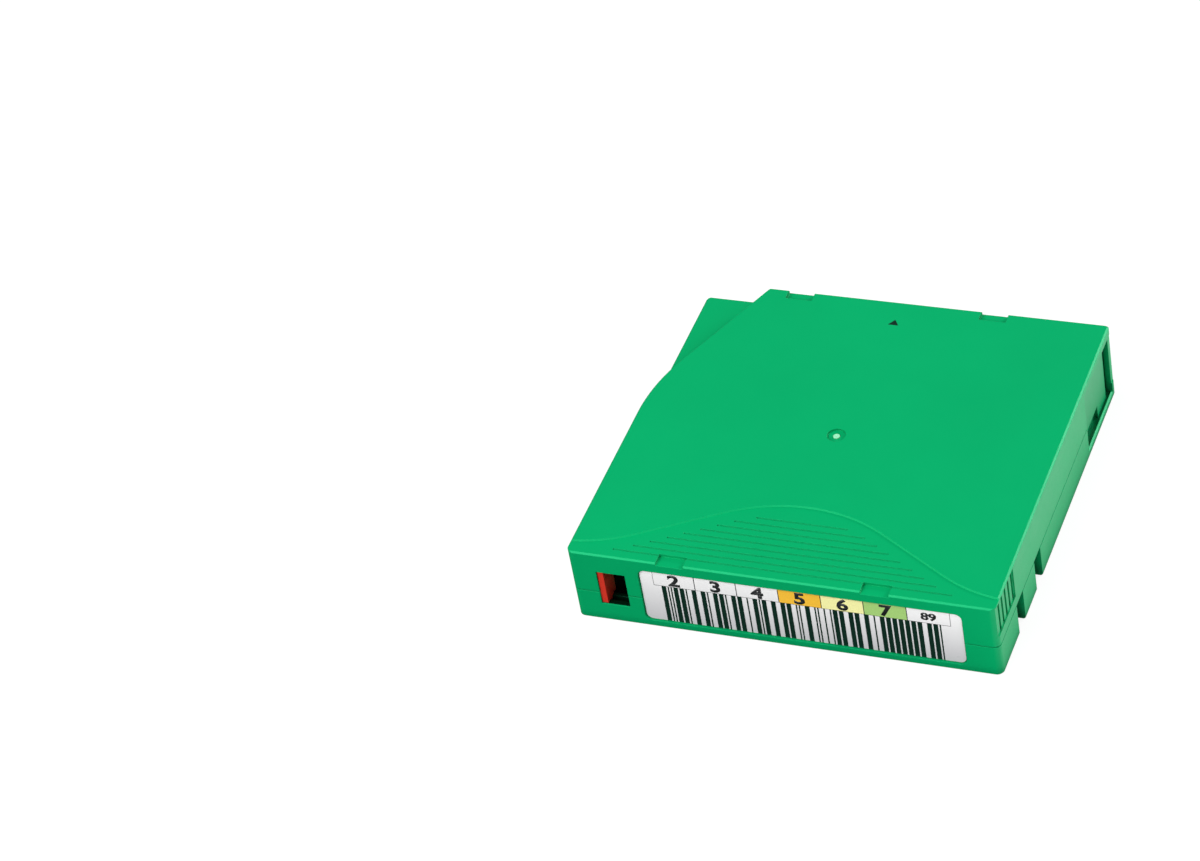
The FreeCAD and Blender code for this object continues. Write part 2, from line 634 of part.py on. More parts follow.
def lower_case(block, hollow, limit):
    half = box(LEFT - 1, RIGHT + 1, NEAR - 1, FAR + 1, -1, PARTING_HEIGHT)
    shell = block.common(half).cut(hollow)
    z0, z1 = BOTTOM_PLATE - JOIN, PARTING_HEIGHT
    inside = bay_walls(z0, z1)
    inside += [post(x, y, z0, z1, 2 * SCREW_BOSS_RADIUS) for x, y in SCREW_PLACES]
    inside += [notch_block(*span, z0, z1, NOTCH_WALL, 0) for span in notch_spans()]
    inside.append(door_rail(z0, BOTTOM_PLATE + DOOR_RAIL_HEIGHT))
    inside.append(pin_seat(z0, BOTTOM_PLATE + PIN_SEAT_HEIGHT))
    inside.append(tab_rails(z0, TAB_WINDOW_BOTTOM))
    inside += board_supports()
    hole_x, hole_y = LOCATING_HOLE
    wall = LOCATING_HOLE_RADIUS + LOCATING_HOLE_WALL
    inside.append(post(hole_x, hole_y, z0, LOCATING_HOLE_DEPTH + LOCATING_HOLE_WALL, 2 * wall))
    inside = [form.common(limit) for form in inside]
    shell = fuse(shell, *inside)
    cuts = [notch_block(*span, -1, z1 + 1, 0, 1) for span in notch_spans()]
    cuts.append(disc(REEL_X, REEL_Y, -1, BOTTOM_PLATE + 1, SPINDLE_OPENING_RADIUS))
    for x, y in SCREW_PLACES:
        cuts.append(screw_head(x, y, 0, SCREW_HOLE_GAP))
        cuts.append(disc(x, y, SCREW_HEAD_INSET, z1 + 1, SCREW_SHANK_RADIUS + SCREW_HOLE_GAP))
    cuts.append(disc(hole_x, hole_y, -1, LOCATING_HOLE_DEPTH, LOCATING_HOLE_RADIUS))
    cuts.append(box(REEL_X - BOTTOM_RELIEF_HALF, REEL_X + BOTTOM_RELIEF_HALF, NEAR - 1,
                    NEAR + BOTTOM_RELIEF_LENGTH, -1, BOTTOM_RELIEF_DEPTH))
    sensor_x = LEFT + TAB_WINDOW_LEFT + TAB_WINDOW_WIDTH
    cuts.append(box(sensor_x - TAB_SENSOR_WIDTH, sensor_x, NEAR + SIDE_WALL, TAB_RAIL_Y,
                    -1, BOTTOM_PLATE + 1))
    cuts += [label_recess(), tab_window(), door_window(), door_channel(), sill_bevel(), parting_line()]
    return shell.cut(cuts).removeSplitter()


def grip_curve(grow, z):
    """The grip field's edge: a crest, two straight flanks and two hollow feet."""
    slope, foot_slope = math.radians(GRIP_FLANK_ANGLE), math.radians(GRIP_FOOT_ANGLE)
    crest = V(0, NEAR + GRIP_CREST - GRIP_CREST_RADIUS, z)
    points = grip_points(grow)
    top = crest + V(0, GRIP_CREST_RADIUS + grow, 0)
    right = [V(x, y, z) for x, y in points]
    left = [V(-x, y, z) for x, y in points]
    middle_slope = (slope + foot_slope) / 2
    centre_x, centre_y = grip_foot_centre()
    radius = GRIP_FOOT_RADIUS - grow
    mid = V(centre_x - radius * math.sin(middle_slope), centre_y - radius * math.cos(middle_slope), z)
    mirrored = V(-mid.x, mid.y, z)
    run = CASE_WIDTH
    out = V(run * math.cos(foot_slope), -run * math.sin(foot_slope), 0)
    low = NEAR - CASE_WIDTH
    end, start = right[2] + out, left[2] + V(-out.x, out.y, 0)
    edges = [Part.makeLine(start, left[2]), Part.Arc(left[2], mirrored, left[1]).toShape(),
             Part.makeLine(left[1], left[0]), Part.Arc(left[0], top, right[0]).toShape(),
             Part.makeLine(right[0], right[1]), Part.Arc(right[1], mid, right[2]).toShape(),
             Part.makeLine(right[2], end), Part.makeLine(end, V(end.x, low, z)),
             Part.makeLine(V(end.x, low, z), V(start.x, low, z)), Part.makeLine(V(start.x, low, z), start)]
    return Part.Wire(edges)


def grip_flank():
    """The length of the straight flank, so that the foot ends at the case's side."""
    slope, foot_slope = math.radians(GRIP_FLANK_ANGLE), math.radians(GRIP_FOOT_ANGLE)
    crest_run = GRIP_CREST_RADIUS * math.sin(slope)
    foot_run = GRIP_FOOT_RADIUS * (math.sin(slope) - math.sin(foot_slope))
    return (CASE_WIDTH / 2 - crest_run - foot_run) / math.cos(slope)


def grip_foot_centre():
    slope = math.radians(GRIP_FLANK_ANGLE)
    run = grip_flank()
    x = (GRIP_CREST_RADIUS + GRIP_FOOT_RADIUS) * math.sin(slope) + run * math.cos(slope)
    y = (NEAR + GRIP_CREST - GRIP_CREST_RADIUS
         + (GRIP_CREST_RADIUS + GRIP_FOOT_RADIUS) * math.cos(slope) - run * math.sin(slope))
    return x, y


def grip_points(grow):
    """On the right: where the crest ends, where the foot starts and where it ends."""
    slope, foot_slope = math.radians(GRIP_FLANK_ANGLE), math.radians(GRIP_FOOT_ANGLE)
    crest_y = NEAR + GRIP_CREST - GRIP_CREST_RADIUS
    radius = GRIP_CREST_RADIUS + grow
    x0, y0 = radius * math.sin(slope), crest_y + radius * math.cos(slope)
    centre_x, centre_y = grip_foot_centre()
    foot = GRIP_FOOT_RADIUS - grow
    x1, y1 = centre_x - foot * math.sin(slope), centre_y - foot * math.cos(slope)
    x2, y2 = centre_x - foot * math.sin(foot_slope), centre_y - foot * math.cos(foot_slope)
    return (x0, y0), (x1, y1), (x2, y2)


def grip_half_width(y):
    """How far a fine groove at y reaches each way, inside the field's curve."""
    grow = -GRIP_LINE_MARGIN
    (x0, y0), (x1, y1), _ = grip_points(grow)
    if y > y0:
        radius = GRIP_CREST_RADIUS + grow
        rise = y - (NEAR + GRIP_CREST - GRIP_CREST_RADIUS)
        return math.sqrt(max(radius ** 2 - rise ** 2, 0))
    if y > y1:
        return x0 + (y0 - y) / math.tan(math.radians(GRIP_FLANK_ANGLE))
    centre_x, centre_y = grip_foot_centre()
    radius = GRIP_FOOT_RADIUS - grow
    return centre_x - math.sqrt(max(radius ** 2 - (centre_y - y) ** 2, 0))


def grip_field():
    """The shallow field with its sloped edges, and the fine grooves in its floor."""
    floor = CASE_HEIGHT - GRIP_DEPTH
    wires = [grip_curve(0, floor), grip_curve(2 * GRIP_BEVEL, floor + 2 * GRIP_DEPTH)]
    profile = [V(LEFT, NEAR - JOIN, floor - GRIP_FRONT_BEVEL - JOIN),
               V(LEFT, NEAR + GRIP_FRONT_BEVEL, floor), V(LEFT, NEAR - JOIN, floor)]
    wedge = Part.Face(Part.makePolygon(profile + profile[:1])).extrude(V(CASE_WIDTH, 0, 0))
    cuts = [Part.makeLoft(wires, True, True), wedge]
    crest = NEAR + GRIP_CREST - GRIP_LINE_MARGIN
    y = NEAR + GRIP_LINE_START
    while y < crest - GRIP_LINE_PITCH / 3:
        half = grip_half_width(y)
        cuts.append(box(-half, half, y - GRIP_LINE_WIDTH / 2, y + GRIP_LINE_WIDTH / 2,
                        floor - GRIP_LINE_DEPTH, floor + JOIN))
        y += GRIP_LINE_PITCH
    return cuts


def edge_notches():
    cuts = []
    for centre in (REEL_X - EDGE_NOTCH_REACH, REEL_X + EDGE_NOTCH_REACH):
        x0, x1 = centre - EDGE_NOTCH_WIDTH / 2, centre + EDGE_NOTCH_WIDTH / 2
        z0, z1 = CASE_HEIGHT - EDGE_NOTCH_DROP, CASE_HEIGHT + 1
        cuts.append(box(x0, x1, NEAR - 1, NEAR + EDGE_NOTCH_DEPTH, z0, z1))
        cuts.append(box(x0, x1, FAR - EDGE_NOTCH_DEPTH, FAR + 1, z0, z1))
    return cuts


def side_grips():
    cuts = []
    for side, out in ((LEFT, -1), (RIGHT, 1)):
        inner = side - out * SIDE_GRIP_RELIEF
        deep = inner - out * SIDE_GRIP_DEPTH
        outer = side + out
        relief = (min(inner, outer), max(inner, outer))
        groove = (min(deep, outer), max(deep, outer))
        cuts.append(box(*relief, NEAR - 1, NEAR + SIDE_GRIP_LENGTH, SIDE_GRIP_BOTTOM, SIDE_GRIP_TOP))
        for i in range(SIDE_GRIP_COUNT):
            y = NEAR + SIDE_GRIP_START + i * SIDE_GRIP_PITCH
            cuts.append(box(*groove, y - SIDE_GRIP_WIDTH / 2, y + SIDE_GRIP_WIDTH / 2,
                            SIDE_GRIP_BOTTOM, SIDE_GRIP_TOP))
    return cuts


def gate_dimple():
    return disc(REEL_X, REEL_Y, CASE_HEIGHT - GATE_DEPTH, CASE_HEIGHT + 1, GATE_RADIUS)


def spring_stop():
    """A rib across the door's channel that holds the spring, with a peg inside the coil."""
    z0, z1 = PARTING_HEIGHT, TOP_UNDERSIDE + JOIN
    coil = DOOR_SPRING_RADIUS + DOOR_SPRING_WIRE / 2
    rib = box(SPRING_X - coil, RIGHT - SIDE_WALL + JOIN,
              SPRING_NEAR - DOOR_SPRING_STOP, SPRING_NEAR, z0, z1)
    return [rib, spring_peg(SPRING_NEAR - JOIN, SPRING_NEAR + DOOR_SPRING_PEG_LENGTH)]


def spring_peg(y0, y1):
    """A square peg inside the door spring's coil."""
    half = DOOR_SPRING_PEG / 2
    z0, z1 = DOOR_SPRING_HEIGHT - half, DOOR_SPRING_HEIGHT + half
    return box(SPRING_X - half, SPRING_X + half, y0, y1, z0, z1)


def upper_case(block, hollow, limit):
    half = box(LEFT - 1, RIGHT + 1, NEAR - 1, FAR + 1, PARTING_HEIGHT, CASE_HEIGHT + 1)
    shell = block.common(half).cut(hollow)
    z0, z1 = PARTING_HEIGHT, TOP_UNDERSIDE + JOIN
    inside = bay_walls(z0, z1)
    inside += [post(x, y, z0, z1, 2 * SCREW_BOSS_RADIUS) for x, y in SCREW_PLACES]
    inside += [notch_block(*span, z0, z0 + NOTCH_WALL, NOTCH_WALL, 0) for span in notch_spans()]
    inside.append(door_rail(TOP_UNDERSIDE - DOOR_RAIL_HEIGHT, z1))
    inside.append(pin_seat(TOP_UNDERSIDE - PIN_SEAT_HEIGHT, z1))
    inside.append(tab_rails(TAB_WINDOW_BOTTOM + TAB_WINDOW_HEIGHT, z1))
    inside += spring_stop()
    inside.append(cross(CROSS_SPAN, CROSS_RIB, CROSS_Z, z1))
    inside = [form.common(limit) for form in inside]
    shell = fuse(shell, *inside)
    cuts = grip_field() + edge_notches() + side_grips()
    for x, y in SCREW_PLACES:
        cuts.append(disc(x, y, z0 - 1, SCREW_HEAD_INSET + SCREW_HEAD_HEIGHT + SCREW_LENGTH + FIT_GAP,
                         SCREW_SHANK_RADIUS + FIT_GAP))
    cuts += [gate_dimple(), label_recess(), tab_window(), door_window(), door_channel()]
    return shell.cut(cuts).removeSplitter()


def screw_head(x, y, z0, gap):
    """The cone of a screw's head above z0, or with a gap the countersink that it seats in."""
    rise = SCREW_HEAD_INSET + SCREW_HEAD_HEIGHT - z0
    slope = (SCREW_HEAD_RADIUS - SCREW_SHANK_RADIUS) / SCREW_HEAD_HEIGHT
    narrow = SCREW_SHANK_RADIUS + gap
    return Part.makeCone(narrow + rise * slope, narrow, rise, V(x, y, z0))


def case_screws():
    """Countersunk screws, driven up from below."""
    screws = []
    for x, y in SCREW_PLACES:
        head_top = SCREW_HEAD_INSET + SCREW_HEAD_HEIGHT
        shank = disc(x, y, head_top - JOIN, head_top + SCREW_LENGTH, SCREW_SHANK_RADIUS)
        screws.append(fuse(screw_head(x, y, SCREW_HEAD_INSET, 0), shank))
    return Part.makeCompound(screws)


# ---- reel ----
def release_slots(gap, z0, z1):
    """The legs of the release pad, or with a gap the slots that they pass through."""
    half_long, half_wide = RELEASE_LEG_LENGTH / 2 + gap, RELEASE_LEG_WIDTH / 2 + gap
    leg = box(DRIVE_GEAR_MIDDLE - half_long, DRIVE_GEAR_MIDDLE + half_long, -half_wide, half_wide, z0, z1)
    leg.translate(V(REEL_X, REEL_Y, 0))
    return round_the_reel(leg, RELEASE_ARMS)


def reel_hub():
    """Hub, lower flange, drive gear and brake teeth, moulded as one."""
    rim_inner = SPINDLE_OPENING_RADIUS + SPINDLE_OPENING_GAP
    barrel = ring(REEL_X, REEL_Y, LOWER_FLANGE_Z, UPPER_FLANGE_Z, HUB_INNER, HUB_RADIUS)
    flange = ring(REEL_X, REEL_Y, LOWER_FLANGE_Z, LOWER_FLANGE_Z + FLANGE_THICKNESS,
                  HUB_INNER, FLANGE_RADIUS)
    floor = disc(REEL_X, REEL_Y, HUB_FLOOR_Z, HUB_FLOOR_TOP, HUB_INNER + JOIN)
    rim = ring(REEL_X, REEL_Y, BOTTOM_PLATE + REEL_SEAT_GAP, HUB_FLOOR_Z + JOIN,
               rim_inner, max(rim_inner + HUB_RIM_WIDTH, HUB_INNER + JOIN))
    drive = toothed_ring(DRIVE_GEAR_INNER, DRIVE_GEAR_INNER + DRIVE_GEAR_WIDTH,
                         HUB_FLOOR_Z, HUB_FLOOR_Z - DRIVE_TOOTH_HEIGHT, DRIVE_TEETH, 0)
    brake = toothed_ring(BRAKE_INNER, BRAKE_OUTER, HUB_FLOOR_TOP, HUB_FLOOR_TOP + BRAKE_TOOTH_HEIGHT,
                         BRAKE_TEETH, 0)
    hub = fuse(barrel, flange, floor, rim, *drive, *brake)
    slots = release_slots(RELEASE_SLOT_GAP, BOTTOM_PLATE, HUB_FLOOR_TOP + JOIN)
    return hub.cut(slots)


def upper_flange():
    """The flat ring that is welded on the hub's rim once the hub is moulded."""
    return ring(REEL_X, REEL_Y, UPPER_FLANGE_Z, UPPER_FLANGE_Z + FLANGE_THICKNESS, HUB_INNER, FLANGE_RADIUS)


def clutch_plate():
    """The steel ring that the drive's magnet pulls, pressed against the hub's floor."""
    return ring(REEL_X, REEL_Y, HUB_FLOOR_Z - CLUTCH_THICKNESS, HUB_FLOOR_Z, CLUTCH_INNER, CLUTCH_OUTER)


def tape_pack():
    return ring(REEL_X, REEL_Y, TAPE_Z, TAPE_Z + TAPE_WIDTH, HUB_RADIUS, FLANGE_RADIUS - TAPE_RIM)


# ---- reel brake ----
def brake_button():
    """The toothed disc that locks the reel, with a socket that slides on the cross boss."""
    plate = disc(REEL_X, REEL_Y, BUTTON_Z, BUTTON_TOP, HUB_INNER - BUTTON_GAP)
    socket = disc(REEL_X, REEL_Y, BUTTON_TOP - JOIN, SOCKET_TOP, BUTTON_SOCKET_RADIUS)
    teeth = toothed_ring(BRAKE_INNER, BRAKE_OUTER, BUTTON_Z, BUTTON_Z - BRAKE_TOOTH_HEIGHT,
                         BRAKE_TEETH, 180 / BRAKE_TEETH)[::BRAKE_TEETH // BUTTON_TEETH]
    button = fuse(plate, socket, *teeth)
    hole = cross(CROSS_SPAN + 2 * CROSS_GAP, CROSS_RIB + 2 * CROSS_GAP, SOCKET_FLOOR_Z, SOCKET_TOP + 1)
    return button.cut(hole)


def brake_spring():
    coil = coil_spring(BUTTON_SOCKET_RADIUS + BRAKE_SPRING_GAP + BRAKE_SPRING_WIRE / 2,
                       BRAKE_SPRING_WIRE, BRAKE_SPRING_TURNS, TOP_UNDERSIDE - BUTTON_TOP,
                       BRAKE_SPRING_FACETS)
    coil.translate(V(REEL_X, REEL_Y, BUTTON_TOP))
    return coil


def brake_release():
    """The pad under the button: three legs reach down between the drive gear's teeth."""
    z0 = HUB_FLOOR_TOP + FIT_GAP
    z1 = z0 + RELEASE_PLATE
    tip = DRIVE_GEAR_MIDDLE + RELEASE_LEG_LENGTH / 2
    corners = []
    for i in range(RELEASE_ARMS):
        angle = 2 * math.pi * i / RELEASE_ARMS
        x = REEL_X + (tip + RELEASE_TIP_RADIUS) * math.cos(angle)
        y = REEL_Y + (tip + RELEASE_TIP_RADIUS) * math.sin(angle)
        corners.append((x, y, RELEASE_TIP_RADIUS))
    plate = prism(rounded_outline(corners), z0, z1)
    foot = HUB_FLOOR_Z - DRIVE_TOOTH_HEIGHT + RELEASE_FOOT_INSET
    return fuse(plate, *release_slots(0, foot, z0 + JOIN))


# ---- door ----
def door():
    """The sliding door, with its far end turned inwards round a soft corner."""
    inside = DOOR_FACE - DOOR_HOOK_DEPTH
    rounding = rounded_outline([(inside, DOOR_NEAR, 0), (DOOR_FACE, DOOR_NEAR, 0),
                                (DOOR_FACE, DOOR_FAR, DOOR_END_RADIUS), (inside, DOOR_FAR, 0)])
    skin = box(DOOR_BACK, DOOR_FACE, DOOR_NEAR, DOOR_FAR, DOOR_BOTTOM, DOOR_TOP)
    skin = skin.common(prism(rounding, DOOR_BOTTOM, DOOR_TOP))
    bend = max(DOOR_END_RADIUS - DOOR_HOOK_THICKNESS, FIT_GAP)
    hook_face = rounded_outline([(inside, DOOR_FAR - DOOR_HOOK_THICKNESS, 0),
                                 (DOOR_BACK, DOOR_FAR - DOOR_HOOK_THICKNESS, bend),
                                 (DOOR_BACK, DOOR_FAR - 2 * DOOR_END_RADIUS, 0),
                                 (DOOR_FACE, DOOR_FAR - 2 * DOOR_END_RADIUS, 0),
                                 (DOOR_FACE, DOOR_FAR, DOOR_END_RADIUS),
                                 (inside, DOOR_FAR, 0)])
    clear = DOOR_RAIL_HEIGHT + DOOR_HOOK_GAP
    hook = prism(hook_face, BOTTOM_PLATE + clear, TOP_UNDERSIDE - clear)
    coil = DOOR_SPRING_RADIUS + DOOR_SPRING_WIRE / 2
    half = 2 * DOOR_SPRING_RADIUS
    tail = box(SPRING_X - coil, DOOR_FACE, DOOR_NEAR, DOOR_NEAR + DOOR_TAIL,
               DOOR_SPRING_HEIGHT - half, DOOR_SPRING_HEIGHT + half)
    peg = spring_peg(DOOR_NEAR - DOOR_SPRING_PEG_LENGTH, DOOR_NEAR + JOIN)
    return fuse(skin, hook, tail, peg).cut(door_scoop())


def door_scoop():
    """A recess low on the door's face, with a sloped upper part."""
    z1 = DOOR_BOTTOM + DOOR_SCOOP_HEIGHT
    deep, reach = DOOR_FACE - DOOR_SCOOP_DEPTH, DOOR_FACE + JOIN
    profile = [V(deep, 0, DOOR_BOTTOM - 1), V(deep, 0, z1 - DOOR_SCOOP_SLOPE), V(DOOR_FACE, 0, z1),
               V(reach, 0, z1), V(reach, 0, DOOR_BOTTOM - 1)]
    start = DOOR_NEAR - JOIN
    form = Part.Face(Part.makePolygon(profile + profile[:1]))
    form = form.extrude(V(0, WINDOW_NEAR + DOOR_SCOOP_LENGTH - start, 0))
    form.translate(V(0, start, 0))
    return form


def door_spring():
    coil = coil_spring(DOOR_SPRING_RADIUS, DOOR_SPRING_WIRE, DOOR_SPRING_TURNS,
                       DOOR_NEAR - SPRING_NEAR, DOOR_SPRING_FACETS)
    coil.rotate(V(0, 0, 0), V(1, 0, 0), -90)
    coil.translate(V(SPRING_X, SPRING_NEAR, DOOR_SPRING_HEIGHT))
    return coil


# ---- leader pin and the tape's free end ----
def leader_pin():
    shaft = disc(PIN_X, PIN_Y, PIN_BOTTOM, PIN_TOP, PIN_SHAFT_RADIUS)
    low = disc(PIN_X, PIN_Y, PIN_BOTTOM, PIN_BOTTOM + PIN_FLANGE, PIN_FLANGE_RADIUS)
    high = disc(PIN_X, PIN_Y, PIN_TOP - PIN_FLANGE, PIN_TOP, PIN_FLANGE_RADIUS)
    return fuse(shaft, low, high)


def leader_line():
    """Where the tape leaves the roll, and the way it runs from there to the pin."""
    roll = FLANGE_RADIUS - TAPE_RIM + LEADER_GAP + LEADER_THICKNESS / 2
    away = V(PIN_X - REEL_X, PIN_Y - REEL_Y, 0)
    angle = math.atan2(away.y, away.x) + math.acos(roll / away.Length)
    start = V(REEL_X + roll * math.cos(angle), REEL_Y + roll * math.sin(angle), 0)
    return start, V(PIN_X, PIN_Y, 0)


def along_leader(width, start_gap, end_gap, z0, z1):
    """A straight strip on the tape's line, from the roll to the pin's middle, less the gaps."""
    start, end = leader_line()
    strip = box(start_gap, (end - start).Length - end_gap, -width / 2, width / 2, z0, z1)
    strip.rotate(V(0, 0, 0), V(0, 0, 1), math.degrees(math.atan2(end.y - start.y, end.x - start.x)))
    strip.translate(start)
    return strip


def tape_leader():
    return along_leader(LEADER_THICKNESS, 0, PIN_SHAFT_RADIUS + FIT_GAP, TAPE_Z, TAPE_Z + TAPE_WIDTH)


def pin_clamp():
    inner = PIN_SHAFT_RADIUS + FIT_GAP
    z0, z1 = TAPE_Z + CLAMP_INSET, TAPE_Z + TAPE_WIDTH - CLAMP_INSET
    clip = ring(PIN_X, PIN_Y, z0, z1, inner, inner + CLAMP_WALL)
    slit = along_leader(CLAMP_SLIT, 0, 0, z0 - 1, z1 + 1)
    return clip.cut(slit)


def pin_retainer():
    """A leaf spring: an upright blade with an arm round the pin at each end."""
    half = RETAINER_THICKNESS / 2
    blade_y = PIN_Y - RETAINER_REACH
    back_x = PIN_X - RETAINER_REACH
    clear = PIN_SHAFT_RADIUS + half + FIT_GAP
    blade = box(back_x - half, PIN_X + PIN_FLANGE_RADIUS - JOIN, blade_y - half, blade_y + half,
                PIN_BOTTOM, PIN_TOP)
    turn_y = PIN_Y - clear - half
    path = [V(back_x, blade_y, 0), V(back_x, turn_y, 0), V(PIN_X + half, turn_y, 0),
            V(PIN_X + clear + half, PIN_Y - clear / 2, 0), V(PIN_X + clear, PIN_Y + half, 0)]
    arm = prism(ribbon(path, RETAINER_THICKNESS), 0, RETAINER_ARM_HEIGHT)
    low, high = arm.copy(), arm.copy()
    low.translate(V(0, 0, PIN_BOTTOM + PIN_FLANGE + FIT_GAP))
    high.translate(V(0, 0, PIN_TOP - PIN_FLANGE - FIT_GAP - RETAINER_ARM_HEIGHT))
    return fuse(blade, low, high)


# ---- small parts by the label face ----
def write_protect_tab():
    """The slider: a deep, narrow block in the window, on a carrier behind the label face."""
    z0, z1 = TAB_WINDOW_BOTTOM + TAB_CLEARANCE, TAB_WINDOW_BOTTOM + TAB_WINDOW_HEIGHT - TAB_CLEARANCE
    carrier_y = NEAR + SIDE_WALL + TAB_CLEARANCE
    face_y = NEAR + TAB_INSET
    block = box(TAB_LEFT, TAB_LEFT + TAB_WIDTH, face_y, face_y + TAB_DEPTH, z0, z1)
    carrier = box(TAB_LEFT - TAB_CARRIER_OVERLAP, TAB_LEFT + TAB_WIDTH,
                  carrier_y, carrier_y + TAB_CARRIER, BOTTOM_PLATE + FIT_GAP, z1 + TAB_RAIL)
    return fuse(block, carrier)


def on_board(x0, x1, along0, along1, out0, out1):
    """A block on the tilted board: along its slope from the low edge, and out from its back."""
    form = box(x0, x1, -along1, -along0, out0, out1)
    form.rotate(V(0, 0, 0), V(1, 0, 0), -BOARD_TILT)
    form.translate(V(0, NEAR + BOARD_FOOT, BOTTOM_PLATE + BOARD_REST))
    return form


def memory_board():
    x1 = RIGHT - BOARD_RIGHT
    return on_board(x1 - BOARD_WIDTH, x1, 0, BOARD_HEIGHT, 0, BOARD_THICKNESS)


def memory_chip():
    x = RIGHT - BOARD_RIGHT - BOARD_WIDTH / 2
    middle = BOARD_HEIGHT / 2
    return on_board(x - CHIP_SIZE / 2, x + CHIP_SIZE / 2, middle - CHIP_SIZE / 2, middle + CHIP_SIZE / 2,
                    BOARD_THICKNESS, BOARD_THICKNESS + CHIP_THICKNESS)


def label():
    gap = LABEL_MARGIN
    return front_plate(LEFT + LABEL_LEFT + gap, RIGHT - LABEL_RIGHT - gap, LABEL_BOTTOM + gap,
                       CASE_HEIGHT - LABEL_TOP - gap, LABEL_CORNER - gap,
                       NEAR + LABEL_RECESS - LABEL_THICKNESS, NEAR + LABEL_RECESS)


def main():
    os.makedirs("parts", exist_ok=True)
    block, hollow, limit = case_block(), case_hollow(), inside_limit()
    parts = {
        "lower_case": lower_case(block, hollow, limit),
        "upper_case": upper_case(block, hollow, limit),
        "case_screws": case_screws(),
        "reel_hub": reel_hub(),
        "upper_flange": upper_flange(),
        "clutch_plate": clutch_plate(),
        "tape_pack": tape_pack(),
        "brake_button": brake_button(),
        "brake_spring": brake_spring(),
        "brake_release": brake_release(),
        "door": door(),
        "door_spring": door_spring(),
        "leader_pin": leader_pin(),
        "tape_leader": tape_leader(),
        "pin_clamp": pin_clamp(),
        "pin_retainer": pin_retainer(),
        "write_protect_tab": write_protect_tab(),
        "memory_board": memory_board(),
        "memory_chip": memory_chip(),
        "label": label(),
    }
    for name, shape in parts.items():
        shape.exportStep(os.path.join("parts", name + ".step"))
        print(f"{name}: {len(shape.Solids)} solid(s), valid {shape.isValid()}, {shape.Volume:.0f} mm3")


main()
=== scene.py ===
import json
import math

import bmesh
import bpy
from bpy.props import FloatProperty, FloatVectorProperty, IntProperty, PointerProperty
from mathutils import Matrix, Vector


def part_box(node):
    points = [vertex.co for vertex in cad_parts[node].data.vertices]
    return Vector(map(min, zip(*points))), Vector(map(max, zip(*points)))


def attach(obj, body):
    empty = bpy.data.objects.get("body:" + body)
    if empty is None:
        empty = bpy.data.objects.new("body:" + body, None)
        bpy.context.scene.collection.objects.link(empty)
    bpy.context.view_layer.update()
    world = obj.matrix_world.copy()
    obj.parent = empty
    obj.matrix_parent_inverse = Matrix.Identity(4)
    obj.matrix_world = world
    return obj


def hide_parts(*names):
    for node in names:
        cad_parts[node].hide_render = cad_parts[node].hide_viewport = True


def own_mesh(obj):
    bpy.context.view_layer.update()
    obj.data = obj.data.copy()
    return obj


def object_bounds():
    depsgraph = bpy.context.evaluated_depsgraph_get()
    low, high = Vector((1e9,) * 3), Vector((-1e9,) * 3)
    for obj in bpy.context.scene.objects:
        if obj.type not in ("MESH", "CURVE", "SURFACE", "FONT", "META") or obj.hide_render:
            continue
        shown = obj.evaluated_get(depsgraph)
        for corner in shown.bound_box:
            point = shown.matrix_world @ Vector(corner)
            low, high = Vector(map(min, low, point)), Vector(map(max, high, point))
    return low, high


# Finishes, print, springs, screws and studio for a half-inch data tape cartridge.
# Metres, +Z up. The label faces -Y and the door is on the +X side.

bl_info = {
    "name": "Tape Cartridge Finishes",
    "version": (1, 0, 0),
    "blender": (4, 5, 0),
    "location": "View3D > Sidebar > Cartridge",
    "description": "Dresses a packed data tape cartridge",
    "category": "Object",
}

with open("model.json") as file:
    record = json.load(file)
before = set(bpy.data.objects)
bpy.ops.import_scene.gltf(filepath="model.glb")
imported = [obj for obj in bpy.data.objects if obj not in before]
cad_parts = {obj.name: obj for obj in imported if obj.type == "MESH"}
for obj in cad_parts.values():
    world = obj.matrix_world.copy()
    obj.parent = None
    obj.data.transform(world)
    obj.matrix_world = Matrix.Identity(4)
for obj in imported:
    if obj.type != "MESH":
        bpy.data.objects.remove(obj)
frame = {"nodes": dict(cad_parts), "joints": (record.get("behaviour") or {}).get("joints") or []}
CAD_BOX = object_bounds()
MM = 0.001


def srgb(red, green, blue):
    """A screen colour from 0 to 255 as the scene's linear colour."""
    def linear(value):
        share = value / 255
        return share / 12.92 if share <= 0.04045 else ((share + 0.055) / 1.055) ** 2.4
    return tuple(linear(value) for value in (red, green, blue))


def colour(name, description, default):
    return FloatVectorProperty(name=name, description=description, default=default, size=3,
                               subtype="COLOR", min=0.0, max=1.0)


def length(name, description, default):
    return FloatProperty(name=name, description=description, default=default, unit="LENGTH", precision=5)


def angle(name, description, default):
    return FloatProperty(name=name, description=description, default=math.radians(default), unit="ROTATION")


def number(name, description, default):
    return FloatProperty(name=name, description=description, default=default)


def count(name, description, default):
    return IntProperty(name=name, description=description, default=default, min=1)


